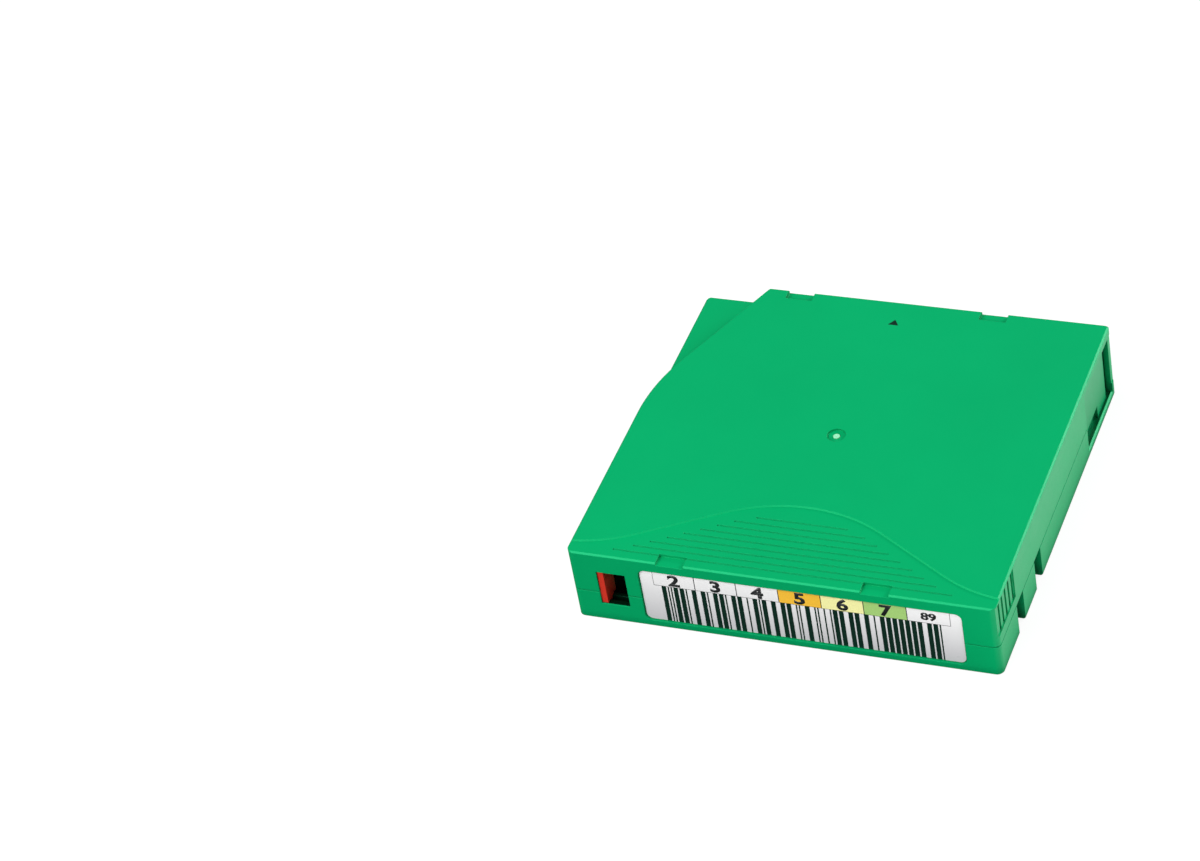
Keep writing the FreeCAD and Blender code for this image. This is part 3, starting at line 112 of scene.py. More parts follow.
# ---- sizes and colours that a user may change ----
class CartridgeColours(bpy.types.PropertyGroup):
    case: colour("Case", "Moulded plastic of both shells", srgb(0, 163, 98))
    # Painted highlight: the moulding mark's pale colour stands in for the highlight on the nub
    torn: colour("Moulding mark", "Plastic paled where the nub was torn off", srgb(150, 226, 182))
    door: colour("Door", "Moulded plastic of the sliding door", srgb(14, 154, 94))
    tab: colour("Slider", "Moulded plastic of the write-protect slider", srgb(212, 56, 40))
    paper: colour("Label", "Paper of the label along its top", srgb(254, 254, 254))
    # Painted shade: the label's paper is painted grey towards its foot
    paper_foot: colour("Label foot", "Grey tint of the paper along its foot", srgb(200, 200, 203))
    ink: colour("Ink", "Ink of the bars and of the arrow", srgb(0, 40, 28))
    figure_ink: colour("Figure ink", "Ink of the figures on the label", srgb(40, 42, 44))
    fourth_field: colour("Fourth field", "Tint behind the fourth figure", srgb(255, 198, 62))
    fifth_field: colour("Fifth field", "Tint behind the fifth figure", srgb(255, 252, 176))
    sixth_field: colour("Sixth field", "Tint behind the sixth figure", srgb(170, 214, 124))
    hub: colour("Hub", "Moulded hub and lower flange", srgb(206, 208, 204))
    flange: colour("Upper flange", "Milky upper flange", srgb(220, 222, 220))
    brake: colour("Brake button", "Pale plastic of the brake button", srgb(232, 228, 214))
    release: colour("Release pad", "Dark plastic of the release pad", srgb(58, 60, 64))
    steel: colour("Steel", "Bright steel of screws, pin and plate", srgb(196, 196, 192))
    spring: colour("Spring steel", "Drawn wire and leaf spring", srgb(172, 172, 170))
    tape: colour("Tape", "Back-coated magnetic film", srgb(38, 33, 31))
    board: colour("Board", "Solder mask of the memory board", srgb(20, 88, 52))
    chip: colour("Chip", "Moulded cover of the memory chip", srgb(30, 30, 32))


class CartridgePlastic(bpy.types.PropertyGroup):
    roughness: number("Roughness", "Spark-eroded face of both shells", 0.42)
    grain: length("Grain", "Size of one pit of the spark-eroded face", 0.16 * MM)
    grain_depth: length("Grain depth", "Depth of that grain", 0.006 * MM)
    edge: length("Soft edge", "Radius that light finds on sharp edges", 0.2 * MM)
    sheen: colour("Sheen", "Share of white in the gloss, which is tinted as the plastic", (0.16, 0.2, 0.36))
    # Painted shade: nook reach, groove reach, groove lift and the nook shade tone set how ambient occlusion
    # darkens the plastic's colour in nooks
    nook_reach: length("Nook reach", "How near walls darken a nook", 6 * MM)
    groove_reach: length("Groove reach", "Walls nearer than this form a fine groove", 0.9 * MM)
    groove_lift: number("Groove lift", "How much of that darkening a fine groove is spared", 0.4)
    nook_tone: number("Nook tone", "Tone of the deepest nook, as a share of the plastic's", 0.15)
    # Painted shade: the tone that the slider's chamber is painted
    unlit_tone: number("Unlit tone", "The same for the slider's chamber", 0.02)


class CartridgeLabel(bpy.types.PropertyGroup):
    fields: count("Fields", "Fields in the row along the label's top", 7)
    field_pitch: length("Field pitch", "From one field to the next", 10.43 * MM)
    field_start: length("Field start", "From the label's left edge to the first field", 3.25 * MM)
    field_height: length("Field height", "Height of the row of fields", 4.3 * MM)
    field_line: length("Field line", "Width of the line round each field", 0.1 * MM)
    first_figure: count("First figure", "The others count on from it", 2)
    figure_height: length("Figure height", "Height of a figure", 3.65 * MM)
    figure_drop: length("Figure drop", "From the label's top edge to a figure's top", 0.38 * MM)
    figure_weight: number("Figure weight", "How bold the figures are, as a share of the font's size", 0.04)
    figure_stretch: number("Figure stretch", "Width of the figures, as a share of the font's", 1.24)
    last_figure_share: number("Last figure", "Height of the last pair of figures, as a share", 0.66)
    bars: count("Bars", "Number of dark bars", 44)
    bars_start: length("Bars start", "From the label's left edge to the first bar", 5.15 * MM)
    bars_end: length("Bars end", "From the last bar to the label's right edge", 5.15 * MM)
    bars_height: length("Bars height", "Height of the bars below the fields", 11.2 * MM)
    wide_bar: number("Wide bar", "A wide bar or gap, as a multiple of a narrow one", 3.2)
    bar_pattern: count("Bar pattern", "Seed that settles which bars and gaps are wide", 6)
    ink_depth: length("Ink depth", "How far the print stands out of the paper", 0.02 * MM)


class CartridgeTopPrint(bpy.types.PropertyGroup):
    arrow_width: length("Arrow width", "Base of the arrow, which shows the end that goes in", 2.7 * MM)
    arrow_length: length("Arrow length", "From the arrow's base to its point", 2.0 * MM)
    arrow_inset: length("Arrow inset", "From the far face to the arrow's point", 6.95 * MM)
    ink_depth: length("Ink depth", "How far the print stands out of the plastic", 0.004 * MM)
    gate_radius: length("Gate radius", "Torn-off nub in the middle of the top", 0.85 * MM)
    gate_height: length("Gate height", "How far the nub rises from the dimple's floor", 0.35 * MM)
    gate_dimple: length("Dimple depth", "From the top down to the dimple's floor", 0.55 * MM)


class CartridgeSprings(bpy.types.PropertyGroup):
    door_radius: length("Door spring radius", "To the middle of the wire", 1.15 * MM)
    door_wire: length("Door spring wire", "Radius of the wire", 0.17 * MM)
    door_turns: number("Door spring turns", "Turns of the door spring", 24.0)
    brake_radius: length("Brake spring radius", "To the middle of the wire", 7.25 * MM)
    brake_wire: length("Brake spring wire", "Radius of the wire", 0.34 * MM)
    brake_turns: number("Brake spring turns", "Turns of the brake spring", 5.0)


class CartridgeScrews(bpy.types.PropertyGroup):
    head_radius: length("Head radius", "Top of the countersunk head", 2.0 * MM)
    cone_height: length("Head height", "Height of the countersunk cone", 1.3 * MM)
    shank_radius: length("Shank radius", "Outside of the thread", 0.95 * MM)
    pitch: length("Pitch", "From one turn of the thread to the next", 0.75 * MM)
    spacing: length("Spacing", "Screws stand at least this far apart", 10 * MM)


class CartridgeStudio(bpy.types.PropertyGroup):
    turn: angle("Camera turn", "Round the object from the label face", 27.621)
    lift: angle("Camera lift", "Above the floor", 40.003)
    roll: angle("Camera roll", "About the line of sight", -11.390)
    distance: length("Camera distance", "To the middle of the object", 0.959169)
    aside: length("Aside", "How far right of the view's middle the object is", 0.059702)
    below: length("Below", "How far below the view's middle the object is", -0.009304)
    lens: number("Lens", "Focal length in millimetres", 118.98)
    sensor: number("Sensor", "Width of the sensor in millimetres", 36.0)
    sky: number("Sky", "Level of the even light from all round", 0.97)
    sky_shade: number("Sky shade", "Level of its dark part, behind the object", 0.08)
    shade_core: angle("Dark core", "Half of the angle of the dark part's middle", 24)
    shade_edge: angle("Dark edge", "The same at its faded edge", 52)
    key: number("Key lamp", "Watts of the soft lamp, in front on the left", 10.5)
    key_size: length("Key size", "Width and height of the soft lamp", 0.75)
    key_turn: angle("Key turn", "Round the object from the label face", -29.4)
    key_lift: angle("Key lift", "Above the floor", 42.8)
    lamp_distance: length("Lamp distance", "From each lamp to the object", 1.3)
    rim: number("Rim lamp", "Watts of the small lamp, behind on the right", 6.8)
    rim_size: length("Rim size", "Width and height of the small lamp", 0.3)
    rim_turn: angle("Rim turn", "Round the object from the label face", 136.6)
    rim_lift: angle("Rim lift", "Above the floor", 20.8)
    floor_shine: number("Floor shine", "Level beside the door side, as the plastic mirrors it", 1.05)
    floor_shade: number("Floor shade", "Level in front, as the plastic mirrors it", 0.05)
    floor_white: number("Floor white", "Light that the floor itself gives the camera", 0.86)
    floor_tone: number("Floor tone", "Tone that shows the object's shadow on the floor", 0.2)
    bounce_front: number("Bounce in front", "Tone of the floor as the object's front is lit by it", 0.05)
    bounce_beside: number("Bounce beside", "Tone of the floor as the door side is lit by it", 0.7)
    floor_size: length("Floor size", "Half of the floor's width", 3.0)


# ---- making meshes ----
def linked(name, data):
    """A new object in the scene."""
    made = bpy.data.objects.new(name, data)
    bpy.context.scene.collection.objects.link(made)
    return made


def mesh_object(name, points, faces):
    """A mesh object at the origin, from its points and its outward faces."""
    mesh = bpy.data.meshes.new(name)
    mesh.from_pydata([tuple(p) for p in points], [], faces)
    mesh.validate()
    return linked(name, mesh)


def slabs(name, outlines, low, high, place):
    """One object of several plates, over flat outlines that run anticlockwise."""
    points, faces = [], []
    for outline in outlines:
        first, n = len(points), len(outline)
        points += [place @ Vector((x, y, z)) for z in (low, high) for x, y in outline]
        sides = [(i, (i + 1) % n, n + (i + 1) % n, n + i) for i in range(n)]
        faces += [[first + i for i in face] for face in (range(n)[::-1], range(n, 2 * n), *sides)]
    return mesh_object(name, points, faces)


def turned(name, profile, sides, place):
    """A closed form turned about Z, from (radius, height) points that start and end on the axis."""
    inner = profile[1:-1]
    points = [place @ Vector((0, 0, profile[0][1])), place @ Vector((0, 0, profile[-1][1]))]
    for radius, height in inner:
        turns = (2 * math.pi * i / sides for i in range(sides))
        points += [place @ Vector((radius * math.cos(t), radius * math.sin(t), height)) for t in turns]
    faces = []
    for i in range(sides):
        j = (i + 1) % sides
        rings = [(2 + k * sides + i, 2 + k * sides + j) for k in range(len(inner))]
        faces.append((0, rings[0][1], rings[0][0]))
        faces += [(a, b, d, c) for (a, b), (c, d) in zip(rings, rings[1:])]
        faces.append((rings[-1][0], rings[-1][1], 1))
    made = mesh_object(name, points, faces)
    made.data.shade_smooth()
    return made


def rectangle(x0, x1, y0, y1):
    return [(x0, y0), (x1, y0), (x1, y1), (x0, y1)]


def frame_strips(x0, x1, y0, y1, line):
    """The four strips of a thin line that is drawn round a rectangle."""
    return [rectangle(x0, x1, y0, y0 + line), rectangle(x0, x1, y1 - line, y1),
            rectangle(x0, x0 + line, y0 + line, y1 - line),
            rectangle(x1 - line, x1, y0 + line, y1 - line)]


def label_plane():
    """Turns flat (across, up) places into places on the label's face."""
    return Matrix.Translation(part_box("label")[0]) @ Matrix.Rotation(math.pi / 2, 4, "X")


def top_plane():
    return Matrix.Translation((0, 0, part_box("upper_case")[1].z))


def written(text, height, across, up, sizes, place):
    """Figures as a closed mesh: centred on across, with their feet at up."""
    name = "label_figure"
    curve = bpy.data.curves.new(name, "FONT")
    curve.body = text
    curve.align_x = "CENTER"
    curve.offset = sizes.figure_weight
    curve.resolution_u = 6
    host = linked(name, curve)
    bpy.context.view_layer.update()
    mesh = bpy.data.meshes.new_from_object(host)
    foot = min(v.co.y for v in mesh.vertices)
    size = height / (max(v.co.y for v in mesh.vertices) - foot)
    bpy.data.objects.remove(host)
    mesh.transform(Matrix.Translation((across, up - foot * size, -sizes.ink_depth))
                   @ Matrix.Diagonal((size * sizes.figure_stretch, size, 1, 1)))
    return thickened(name, mesh, 2 * sizes.ink_depth, place)


def thickened(name, mesh, depth, place):
    """A flat mesh given a thickness along its own Z, then put in its place."""
    form = bmesh.new()
    form.from_mesh(mesh)
    bmesh.ops.remove_doubles(form, verts=form.verts, dist=1e-7)
    risen = bmesh.ops.extrude_face_region(form, geom=form.faces[:])
    for item in risen["geom"]:
        if isinstance(item, bmesh.types.BMVert):
            item.co.z += depth
    bmesh.ops.recalc_face_normals(form, faces=form.faces[:])
    form.to_mesh(mesh)
    form.free()
    mesh.transform(place)
    return linked(name, mesh)


def joined(name, pieces):
    """Several mesh objects as one, with their materials kept."""
    with bpy.context.temp_override(active_object=pieces[0], selected_editable_objects=pieces):
        bpy.ops.object.join()
    pieces[0].name = name
    return pieces[0]


def rides(piece, body, slot, *nodes):
    """Puts a finished piece on its body and hides the CAD nodes it stands in for. The slot argument is not
    used.
    """
    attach(piece, body)
    if nodes:
        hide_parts(*nodes)


def coat(piece, material):
    """Gives a piece this one material, and hands the piece back."""
    piece.data.materials.clear()
    piece.data.materials.append(material)
    return piece


# ---- node trees ----
class Net:
    """A node tree under construction, with short ways to add nodes and join them."""

    def __init__(self, tree):
        self.tree = tree

    def node(self, kind, inputs=None, **settings):
        made = self.tree.nodes.new(kind)
        for key, value in settings.items():
            setattr(made, key, value)
        for key, value in (inputs or {}).items():
            self.feed(made.inputs[key], value)
        return made

    def feed(self, socket, value):
        """Joins a socket to another one or to a node's first output, or gives it a plain value."""
        if isinstance(value, bpy.types.Node):
            value = value.outputs[0]
        if isinstance(value, bpy.types.NodeSocket):
            self.tree.links.new(value, socket)
        elif socket.type == "RGBA":
            socket.default_value = (*value, 1.0)
        else:
            socket.default_value = value

    def maths(self, operation, first, second=0.0):
        return self.node("ShaderNodeMath", {0: first, 1: second}, operation=operation).outputs[0]

    def plus(self, first, second):
        return self.maths("ADD", first, second)

    def minus(self, first, second):
        return self.maths("SUBTRACT", first, second)

    def times(self, first, second):
        return self.maths("MULTIPLY", first, second)


class Tree(Net):
    """A geometry node tree with named inputs, which grows what repeats."""

    def __init__(self, name):
        super().__init__(bpy.data.node_groups.new(name, "GeometryNodeTree"))
        self.tree.interface.new_socket("Geometry", in_out="OUTPUT", socket_type="NodeSocketGeometry")
        self.source = self.node("NodeGroupInput")
        self.result = self.node("NodeGroupOutput")

    def takes(self, name, kind="Float"):
        self.tree.interface.new_socket(name, in_out="INPUT", socket_type="NodeSocket" + kind)
        return self.source.outputs[name]

    def vector(self, x=0.0, y=0.0, z=0.0):
        return self.node("ShaderNodeCombineXYZ", {0: x, 1: y, 2: z}).outputs[0]

    def lifted(self, geometry, height):
        return self.node("GeometryNodeTransform", {"Geometry": geometry,
                                                   "Translation": self.vector(z=height)})

    def spiral(self, radius, turns, tall, steps):
        return self.node("GeometryNodeCurveSpiral", {
            "Start Radius": radius, "End Radius": radius, "Rotations": turns, "Height": tall,
            "Resolution": steps})

    def tube(self, curve, profile):
        """A closed solid along a curve."""
        return self.node("GeometryNodeCurveToMesh", {"Curve": curve, "Profile Curve": profile,
                                                     "Fill Caps": True})

    def ends(self, geometry, material):
        """Makes the geometry real, gives it its material and closes the tree."""
        real = self.node("GeometryNodeRealizeInstances", {0: geometry})
        coated = self.node("GeometryNodeSetMaterial", {"Geometry": real, "Material": material})
        self.feed(self.result.inputs[0], coated)
        return self.tree


def grown(name, tree, values):
    """A plain mesh object that a node tree makes from the given named inputs."""
    host = linked(name, bpy.data.meshes.new(name))
    modifier = host.modifiers.new("grow", "NODES")
    modifier.node_group = tree
    for item in tree.interface.items_tree:
        if item.item_type == "SOCKET" and item.in_out == "INPUT":
            modifier[item.identifier] = values[item.name]
    bpy.context.view_layer.update()
    seen = bpy.context.evaluated_depsgraph_get()
    mesh = bpy.data.meshes.new_from_object(host.evaluated_get(seen), depsgraph=seen)
    host.modifiers.clear()
    host.data = mesh
    return host


def coil_tree():
    """A wire coil along Z whose first and last turns lie close together."""
    close_rise, end_turns = 2.05, 1.1     # rise of a close turn in wire radii, and turns at each end
    t = Tree("coil")
    radius, wire = t.takes("Radius"), t.takes("Wire Radius")
    tall, turns = t.takes("Length"), t.takes("Turns")
    material = t.takes("Material", "Material")
    line = t.spiral(radius, turns, 0.0, 24)
    along = t.node("GeometryNodeSplineParameter").outputs["Factor"]
    closed = t.times(t.times(wire, close_rise), turns)
    spread = t.minus(t.minus(tall, t.times(wire, 2.0)), closed)
    end_share = t.maths("DIVIDE", end_turns, turns)
    eased = t.node("ShaderNodeMapRange", {"Value": along, "From Min": end_share,
                                          "From Max": t.minus(1.0, end_share)},
                   interpolation_type="SMOOTHSTEP")
    rise = t.plus(t.times(along, closed), t.times(eased, spread))
    raised = t.node("GeometryNodeSetPosition", {"Geometry": line, "Offset": t.vector(z=t.plus(rise, wire))})
    section = t.node("GeometryNodeCurvePrimitiveCircle", {"Resolution": 10, "Radius": wire})
    tube = t.tube(raised, section)
    return t.ends(t.node("GeometryNodeSetShadeSmooth", {"Geometry": tube, "Shade Smooth": True}), material)


def bars_tree():
    """A row of upright bars of two widths with gaps of two widths, spread over a given width."""
    wide_share = 0.48
    t = Tree("bars")
    bars, wide, seed = t.takes("Count", "Int"), t.takes("Wide"), t.takes("Seed", "Int")
    across, tall, deep = t.takes("Width"), t.takes("Height"), t.takes("Depth")
    material = t.takes("Material", "Material")
    points = t.node("GeometryNodePoints", {"Count": bars})

    def one_or_wide(offset):
        pick = t.node("FunctionNodeRandomValue", {"Probability": wide_share, "Seed": t.plus(seed, offset)},
                      data_type="BOOLEAN")
        return t.plus(1.0, t.times(pick.outputs[3], t.minus(wide, 1.0)))

    bar, gap = one_or_wide(0.0), one_or_wide(1.0)
    summed = t.node("GeometryNodeAccumulateField", {"Value": t.plus(bar, gap)}, data_type="FLOAT")
    last = t.node("GeometryNodeSampleIndex", {"Geometry": points, "Value": gap,
                                              "Index": t.minus(bars, 1.0)}, data_type="FLOAT")
    module = t.maths("DIVIDE", across, t.minus(summed.outputs["Total"], last))
    middle = t.times(module, t.plus(summed.outputs["Trailing"], t.times(bar, 0.5)))
    placed = t.node("GeometryNodeSetPosition", {"Geometry": points, "Position": t.vector(middle)})
    one = t.node("GeometryNodeMeshCube", {"Size": (1.0, 1.0, 1.0)})
    put = t.node("GeometryNodeInstanceOnPoints", {"Points": placed, "Instance": one,
                                                  "Scale": t.vector(t.times(module, bar), tall, deep)})
    return t.ends(put, material)


def screw_tree():
    """Countersunk screws at the points of the incoming mesh, with a thread and a star socket."""
    core, crest, ridge = 0.84, 0.88, 0.12                          # of the shank's radius
    star_valley, star_point, star_round = 0.36, 0.52, 0.12         # of the head's radius
    socket_depth, thread_start, thread_short = 0.75, 1.15, 1.3     # of the cone's height
    t = Tree("screws")
    head, shank, tall = t.takes("Head Radius"), t.takes("Shank Radius"), t.takes("Length")
    cone, pitch = t.takes("Cone Height"), t.takes("Pitch")
    spots, material = t.takes("Places", "Object"), t.takes("Material", "Material")
    places = t.node("GeometryNodeObjectInfo", {"Object": spots}).outputs["Geometry"]
    shaft = t.minus(tall, cone)
    body = t.node("GeometryNodeMeshCylinder", {"Vertices": 24, "Radius": t.times(shank, core),
                                               "Depth": shaft})
    taper = t.node("GeometryNodeMeshCone", {"Vertices": 36, "Radius Top": shank, "Radius Bottom": head,
                                            "Depth": cone})
    star = t.node("GeometryNodeCurveStar", {"Points": 6, "Inner Radius": t.times(head, star_valley),
                                            "Outer Radius": t.times(head, star_point)})
    rounded = t.node("GeometryNodeFilletCurve", {"Curve": star, "Count": 3,
                                                 "Radius": t.times(head, star_round)}, mode="POLY")
    upright = t.node("GeometryNodeCurvePrimitiveLine", {"Start": t.vector(z=t.times(cone, -0.5)),
                                                        "End": t.vector(z=t.times(cone, socket_depth))})
    hollow = t.node("GeometryNodeMeshBoolean", {"Mesh 1": taper, "Mesh 2": t.tube(upright, rounded)},
                    operation="DIFFERENCE", solver="EXACT")
    helix = t.spiral(t.times(shank, crest), t.maths("DIVIDE", shaft, pitch),
                     t.minus(tall, t.times(cone, thread_short)), 20)
    section = t.node("GeometryNodeCurvePrimitiveCircle", {"Resolution": 4, "Radius": t.times(shank, ridge)})
    thread = t.lifted(t.tube(helix, section), t.times(cone, thread_start))
    whole = t.node("GeometryNodeJoinGeometry")
    for part in (t.lifted(body, t.times(t.plus(tall, cone), 0.5)), hollow, thread):
        t.feed(whole.inputs[0], part)
    return t.ends(t.node("GeometryNodeInstanceOnPoints", {"Points": places, "Instance": whole}), material)


# ---- finishes ----
class Finish(Net):
    """A material under construction on one Principled shader, in Object coordinates."""

    def __init__(self, name, roughness, **sockets):
        self.material = bpy.data.materials.new(name)
        self.material.use_nodes = True
        super().__init__(self.material.node_tree)
        self.shader = self.tree.nodes["Principled BSDF"].inputs
        self.rough(roughness)
        for socket, value in sockets.items():
            self.feed(self.shader[socket.replace("_", " ")], value)
        self.where = self.node("ShaderNodeTexCoord").outputs["Object"]

    def coloured(self, value):
        self.feed(self.shader["Base Color"], value)

    def mottled(self, value, base, low, high):
        """Tints of a base colour, from low to high as the value rises."""
        self.coloured(self.between(self.spread(value), tinted(base, low), tinted(base, high)))

    def rough(self, value):
        self.feed(self.shader["Roughness"], value)

    def bumped(self, height, depth, edge=None):
        """A relief of this depth in metres, over edges that are softened by a radius."""
        relief = self.node("ShaderNodeBump", {"Height": height, "Distance": depth, "Strength": 1.0})
        if edge:
            self.feed(relief.inputs["Normal"], self.node("ShaderNodeBevel", {"Radius": edge}, samples=6))
        self.feed(self.shader["Normal"], relief)

    def placed(self, centre=(0, 0, 0), scale=(1, 1, 1)):
        """Object coordinates, measured from a centre and scaled."""
        return self.node("ShaderNodeMapping", {"Vector": self.where, "Scale": scale,
                                               "Location": [-c * s for c, s in zip(centre, scale)]})

    def parts(self, vector):
        return self.node("ShaderNodeSeparateXYZ", {0: vector}).outputs

    def noise(self, size, detail=2.0, where=None, roughness=0.5):
        """Noise from 0 to 1 whose spots are about this size, in metres."""
        made = self.node("ShaderNodeTexNoise", {"Vector": where or self.where, "Scale": 1 / size,
                                                "Detail": detail, "Roughness": roughness})
        return made.outputs["Fac"]

    def rings(self, centre, each_mm, detail):
        """Noise from 0 to 1 in rings about an upright axis, with so many rings to the millimetre."""
        x, y, _ = self.parts(self.placed(centre))
        radius = self.maths("SQRT", self.plus(self.maths("POWER", x, 2.0), self.maths("POWER", y, 2.0)))
        made = self.node("ShaderNodeTexNoise", {"W": radius, "Scale": each_mm / MM, "Detail": detail},
                         noise_dimensions="1D")
        return made.outputs["Fac"]

    def open_share(self, reach):
        """1 in the open, less where walls stand nearer than this reach."""
        return self.node("ShaderNodeAmbientOcclusion", {"Distance": reach}, samples=8).outputs["AO"]

    def spread(self, value, low=0.0, high=1.0, start=0.3, end=0.7):
        """Takes a value from start..end to low..high, and holds it there."""
        return self.node("ShaderNodeMapRange", {"Value": value, "From Min": start, "From Max": end,
                                                "To Min": low, "To Max": high}).outputs[0]

    def between(self, share, first, second):
        """The first colour where the share is 0, the second where it is 1."""
        return self.node("ShaderNodeMix", {0: share, 6: first, 7: second}, data_type="RGBA").outputs[2]

    def inside(self, low, high):
        """1 inside the box between two corners and 0 outside it."""
        middle, half = (Vector(low) + Vector(high)) / 2, (Vector(high) - Vector(low)) / 2
        x, y, z = (self.maths("ABSOLUTE", part)
                   for part in self.parts(self.placed(middle, [1 / h for h in half])))
        return self.maths("LESS_THAN", self.maths("MAXIMUM", x, self.maths("MAXIMUM", y, z)), 1.0)


def toward(turn, lift):
    """The direction out from the object, round from the label face and up from the floor."""
    return Vector((math.sin(turn) * math.cos(lift), -math.cos(turn) * math.cos(lift), math.sin(lift)))


def tinted(base, amount):
    return tuple(c * amount for c in base)


def moulded(name, base, plastic, roughness=None, edge=None, open_at=0.72, unlit=None):
    """Spark-eroded moulded plastic: a fine grain, faint flow clouds and slightly rubbed spots.

    Nooks and fine grooves get painted shade: ambient occlusion darkens their colour below that of open
    faces. The box between the unlit corners is painted nearly black as shade.
    """
    roughness = roughness or plastic.roughness
    sheen = [own + (1 - own) * c / max(base) for own, c in zip(plastic.sheen, base)]
    f = Finish(name, roughness, Specular_Tint=sheen, IOR=1.5)
    clouds = f.noise(26 * MM, 3.0)
    open_colour = f.between(f.spread(clouds), tinted(base, 0.98), tinted(base, 1.02))
    # Painted shade: the colour darkens where walls stand near, and a fine groove is spared part of it
    in_groove = f.minus(1.0, f.open_share(plastic.groove_reach))
    lit = f.plus(f.open_share(plastic.nook_reach), f.times(in_groove, plastic.groove_lift))
    shaded = f.between(f.spread(lit, start=0.25, end=open_at), tinted(base, plastic.nook_tone), open_colour)
    # Painted shade: inside the chamber's box the colour is painted nearly black
    if unlit:
        shaded = f.between(f.inside(*unlit), shaded, tinted(base, plastic.unlit_tone))
    f.coloured(shaded)
    grain = f.noise(plastic.grain, 2.0)
    rubbed = f.noise(5 * MM, 4.0)
    f.rough(f.plus(f.spread(rubbed, roughness - 0.02, roughness + 0.02), f.spread(grain, -0.03, 0.03)))
    f.bumped(grain, plastic.grain_depth, edge or plastic.edge)
    return f.material


def label_paper(base, foot, low, high):
    """Coated paper under a clear film, with painted shade: its colour greys towards the foot and fades to
    the paper's own colour upwards.
    """
    f = Finish("label_paper", 0.32, Specular_IOR_Level=0.3)
    fibres = f.noise(0.9 * MM, 5.0, f.placed(scale=(1, 1, 3.5)), 0.65)
    # Painted shade: grey at the foot, fading upwards to the paper's colour
    tint = f.between(f.spread(f.parts(f.where)[2], start=low, end=high), foot, base)
    f.coloured(f.between(f.spread(fibres, 0.0, 0.03), tint, (0.5, 0.5, 0.5)))
    f.rough(f.spread(f.noise(2.5 * MM, 3.0), 0.27, 0.37))
    f.bumped(fibres, 0.002 * MM)
    return f.material


def printed(name, base, roughness=0.4):
    """Printed ink: slightly uneven cover, with a fine mottle."""
    f = Finish(name, roughness)
    mottle = f.noise(0.25 * MM, 3.0)
    f.mottled(mottle, base, 0.93, 1.05)
    f.rough(f.spread(mottle, roughness - 0.06, roughness + 0.06))
    f.bumped(mottle, 0.001 * MM)
    return f.material


def milky(name, base, roughness=0.35):
    """Natural, slightly translucent plastic."""
    f = Finish(name, roughness, Subsurface_Weight=0.25, Subsurface_Radius=(0.003, 0.003, 0.0028),
               Subsurface_Scale=0.5)
    f.mottled(f.noise(9 * MM, 3.0), base, 0.95, 1.0)
    f.rough(f.spread(f.noise(1.5 * MM, 3.0), roughness - 0.06, roughness + 0.06))
    f.bumped(f.noise(0.2 * MM), 0.003 * MM, 0.1 * MM)
    return f.material


def drawn_metal(name, base, streak=(1, 1, 12)):
    """Bright metal with fine draw lines, stretched along each axis by the streak."""
    roughness = 0.28
    f = Finish(name, roughness, Metallic=1.0)
    lines = f.noise(0.3 * MM, 3.0, f.placed(scale=[1 / s for s in streak]))
    f.mottled(lines, base, 0.88, 1.0)
    f.rough(f.spread(lines, roughness - 0.07, roughness + 0.09))
    f.bumped(lines, 0.002 * MM)
    return f.material


def turned_metal(name, base, centre):
    """Bright metal with rings about an upright axis, as a lathe or a punch leaves it."""
    f = Finish(name, 0.26, Metallic=1.0)
    rings = f.rings(centre, 6, 3.0)
    f.mottled(rings, base, 0.85, 1.0)
    f.rough(f.spread(rings, 0.2, 0.36))
    f.bumped(rings, 0.003 * MM)
    return f.material


def wound_tape(base, centre):
    """The roll's edge shows its turns as fine rings; its outside is smooth, glossy film."""
    f = Finish("tape_film", 0.24, Specular_IOR_Level=0.7)
    turns, packs = f.rings(centre, 9, 2.0), f.rings(centre, 0.35, 2.0)
    shade = f.times(f.spread(turns, 0.7, 1.2), f.spread(packs, 0.8, 1.15))
    f.coloured(f.between(f.spread(shade, start=0.5, end=1.4), tinted(base, 0.6), tinted(base, 1.35)))
    f.rough(f.spread(turns, 0.18, 0.34))
    f.bumped(turns, 0.002 * MM)
    return f.material


def circuit_board(base, low, high):
    """Green solder mask over a flat copper coil that runs round the board's edge."""
    coil_start, coil_end, trace_pitch, trace_gap = 0.5 * MM, 1.9 * MM, 0.22 * MM, 0.12 * MM
    f = Finish("board_laminate", 0.3, Specular_IOR_Level=0.6)
    half = (high - low) / 2
    x, _, z = f.parts(f.placed((low + high) / 2))
    inset = f.maths("MINIMUM", f.minus(half.x, f.maths("ABSOLUTE", x)),
                    f.times(f.minus(half.z, f.maths("ABSOLUTE", z)), 1.4))
    trace = f.maths("GREATER_THAN", f.maths("PINGPONG", inset, trace_pitch), trace_gap)
    in_coil = f.times(f.maths("LESS_THAN", inset, coil_end), f.maths("GREATER_THAN", inset, coil_start))
    copper = f.times(trace, in_coil)
    f.coloured(f.between(copper, base, tinted(base, 1.9)))
    f.rough(f.spread(f.noise(1 * MM), 0.25, 0.36))
    f.bumped(copper, 0.02 * MM)
    return f.material


def dark_cover(base):
    """Black moulding compound with a fine speck."""
    f = Finish("chip_plastic", 0.55)
    speck = f.noise(0.12 * MM, 3.0)
    f.mottled(speck, base, 0.8, 1.25)
    f.rough(f.spread(speck, 0.48, 0.62))
    f.bumped(speck, 0.004 * MM, 0.08 * MM)
    return f.material


# ---- one operator for each piece or group of like pieces ----
def dress(node, material):
    coat(frame["nodes"][node], material)


def middle_of(node):
    low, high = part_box(node)
    return (low + high) / 2


def joint_range(name):
    """How far a sliding joint reaches from rest."""
    joint = next(j for j in frame["joints"] if j["name"] == name)
    return max(abs(v) for v in joint["range_m"])


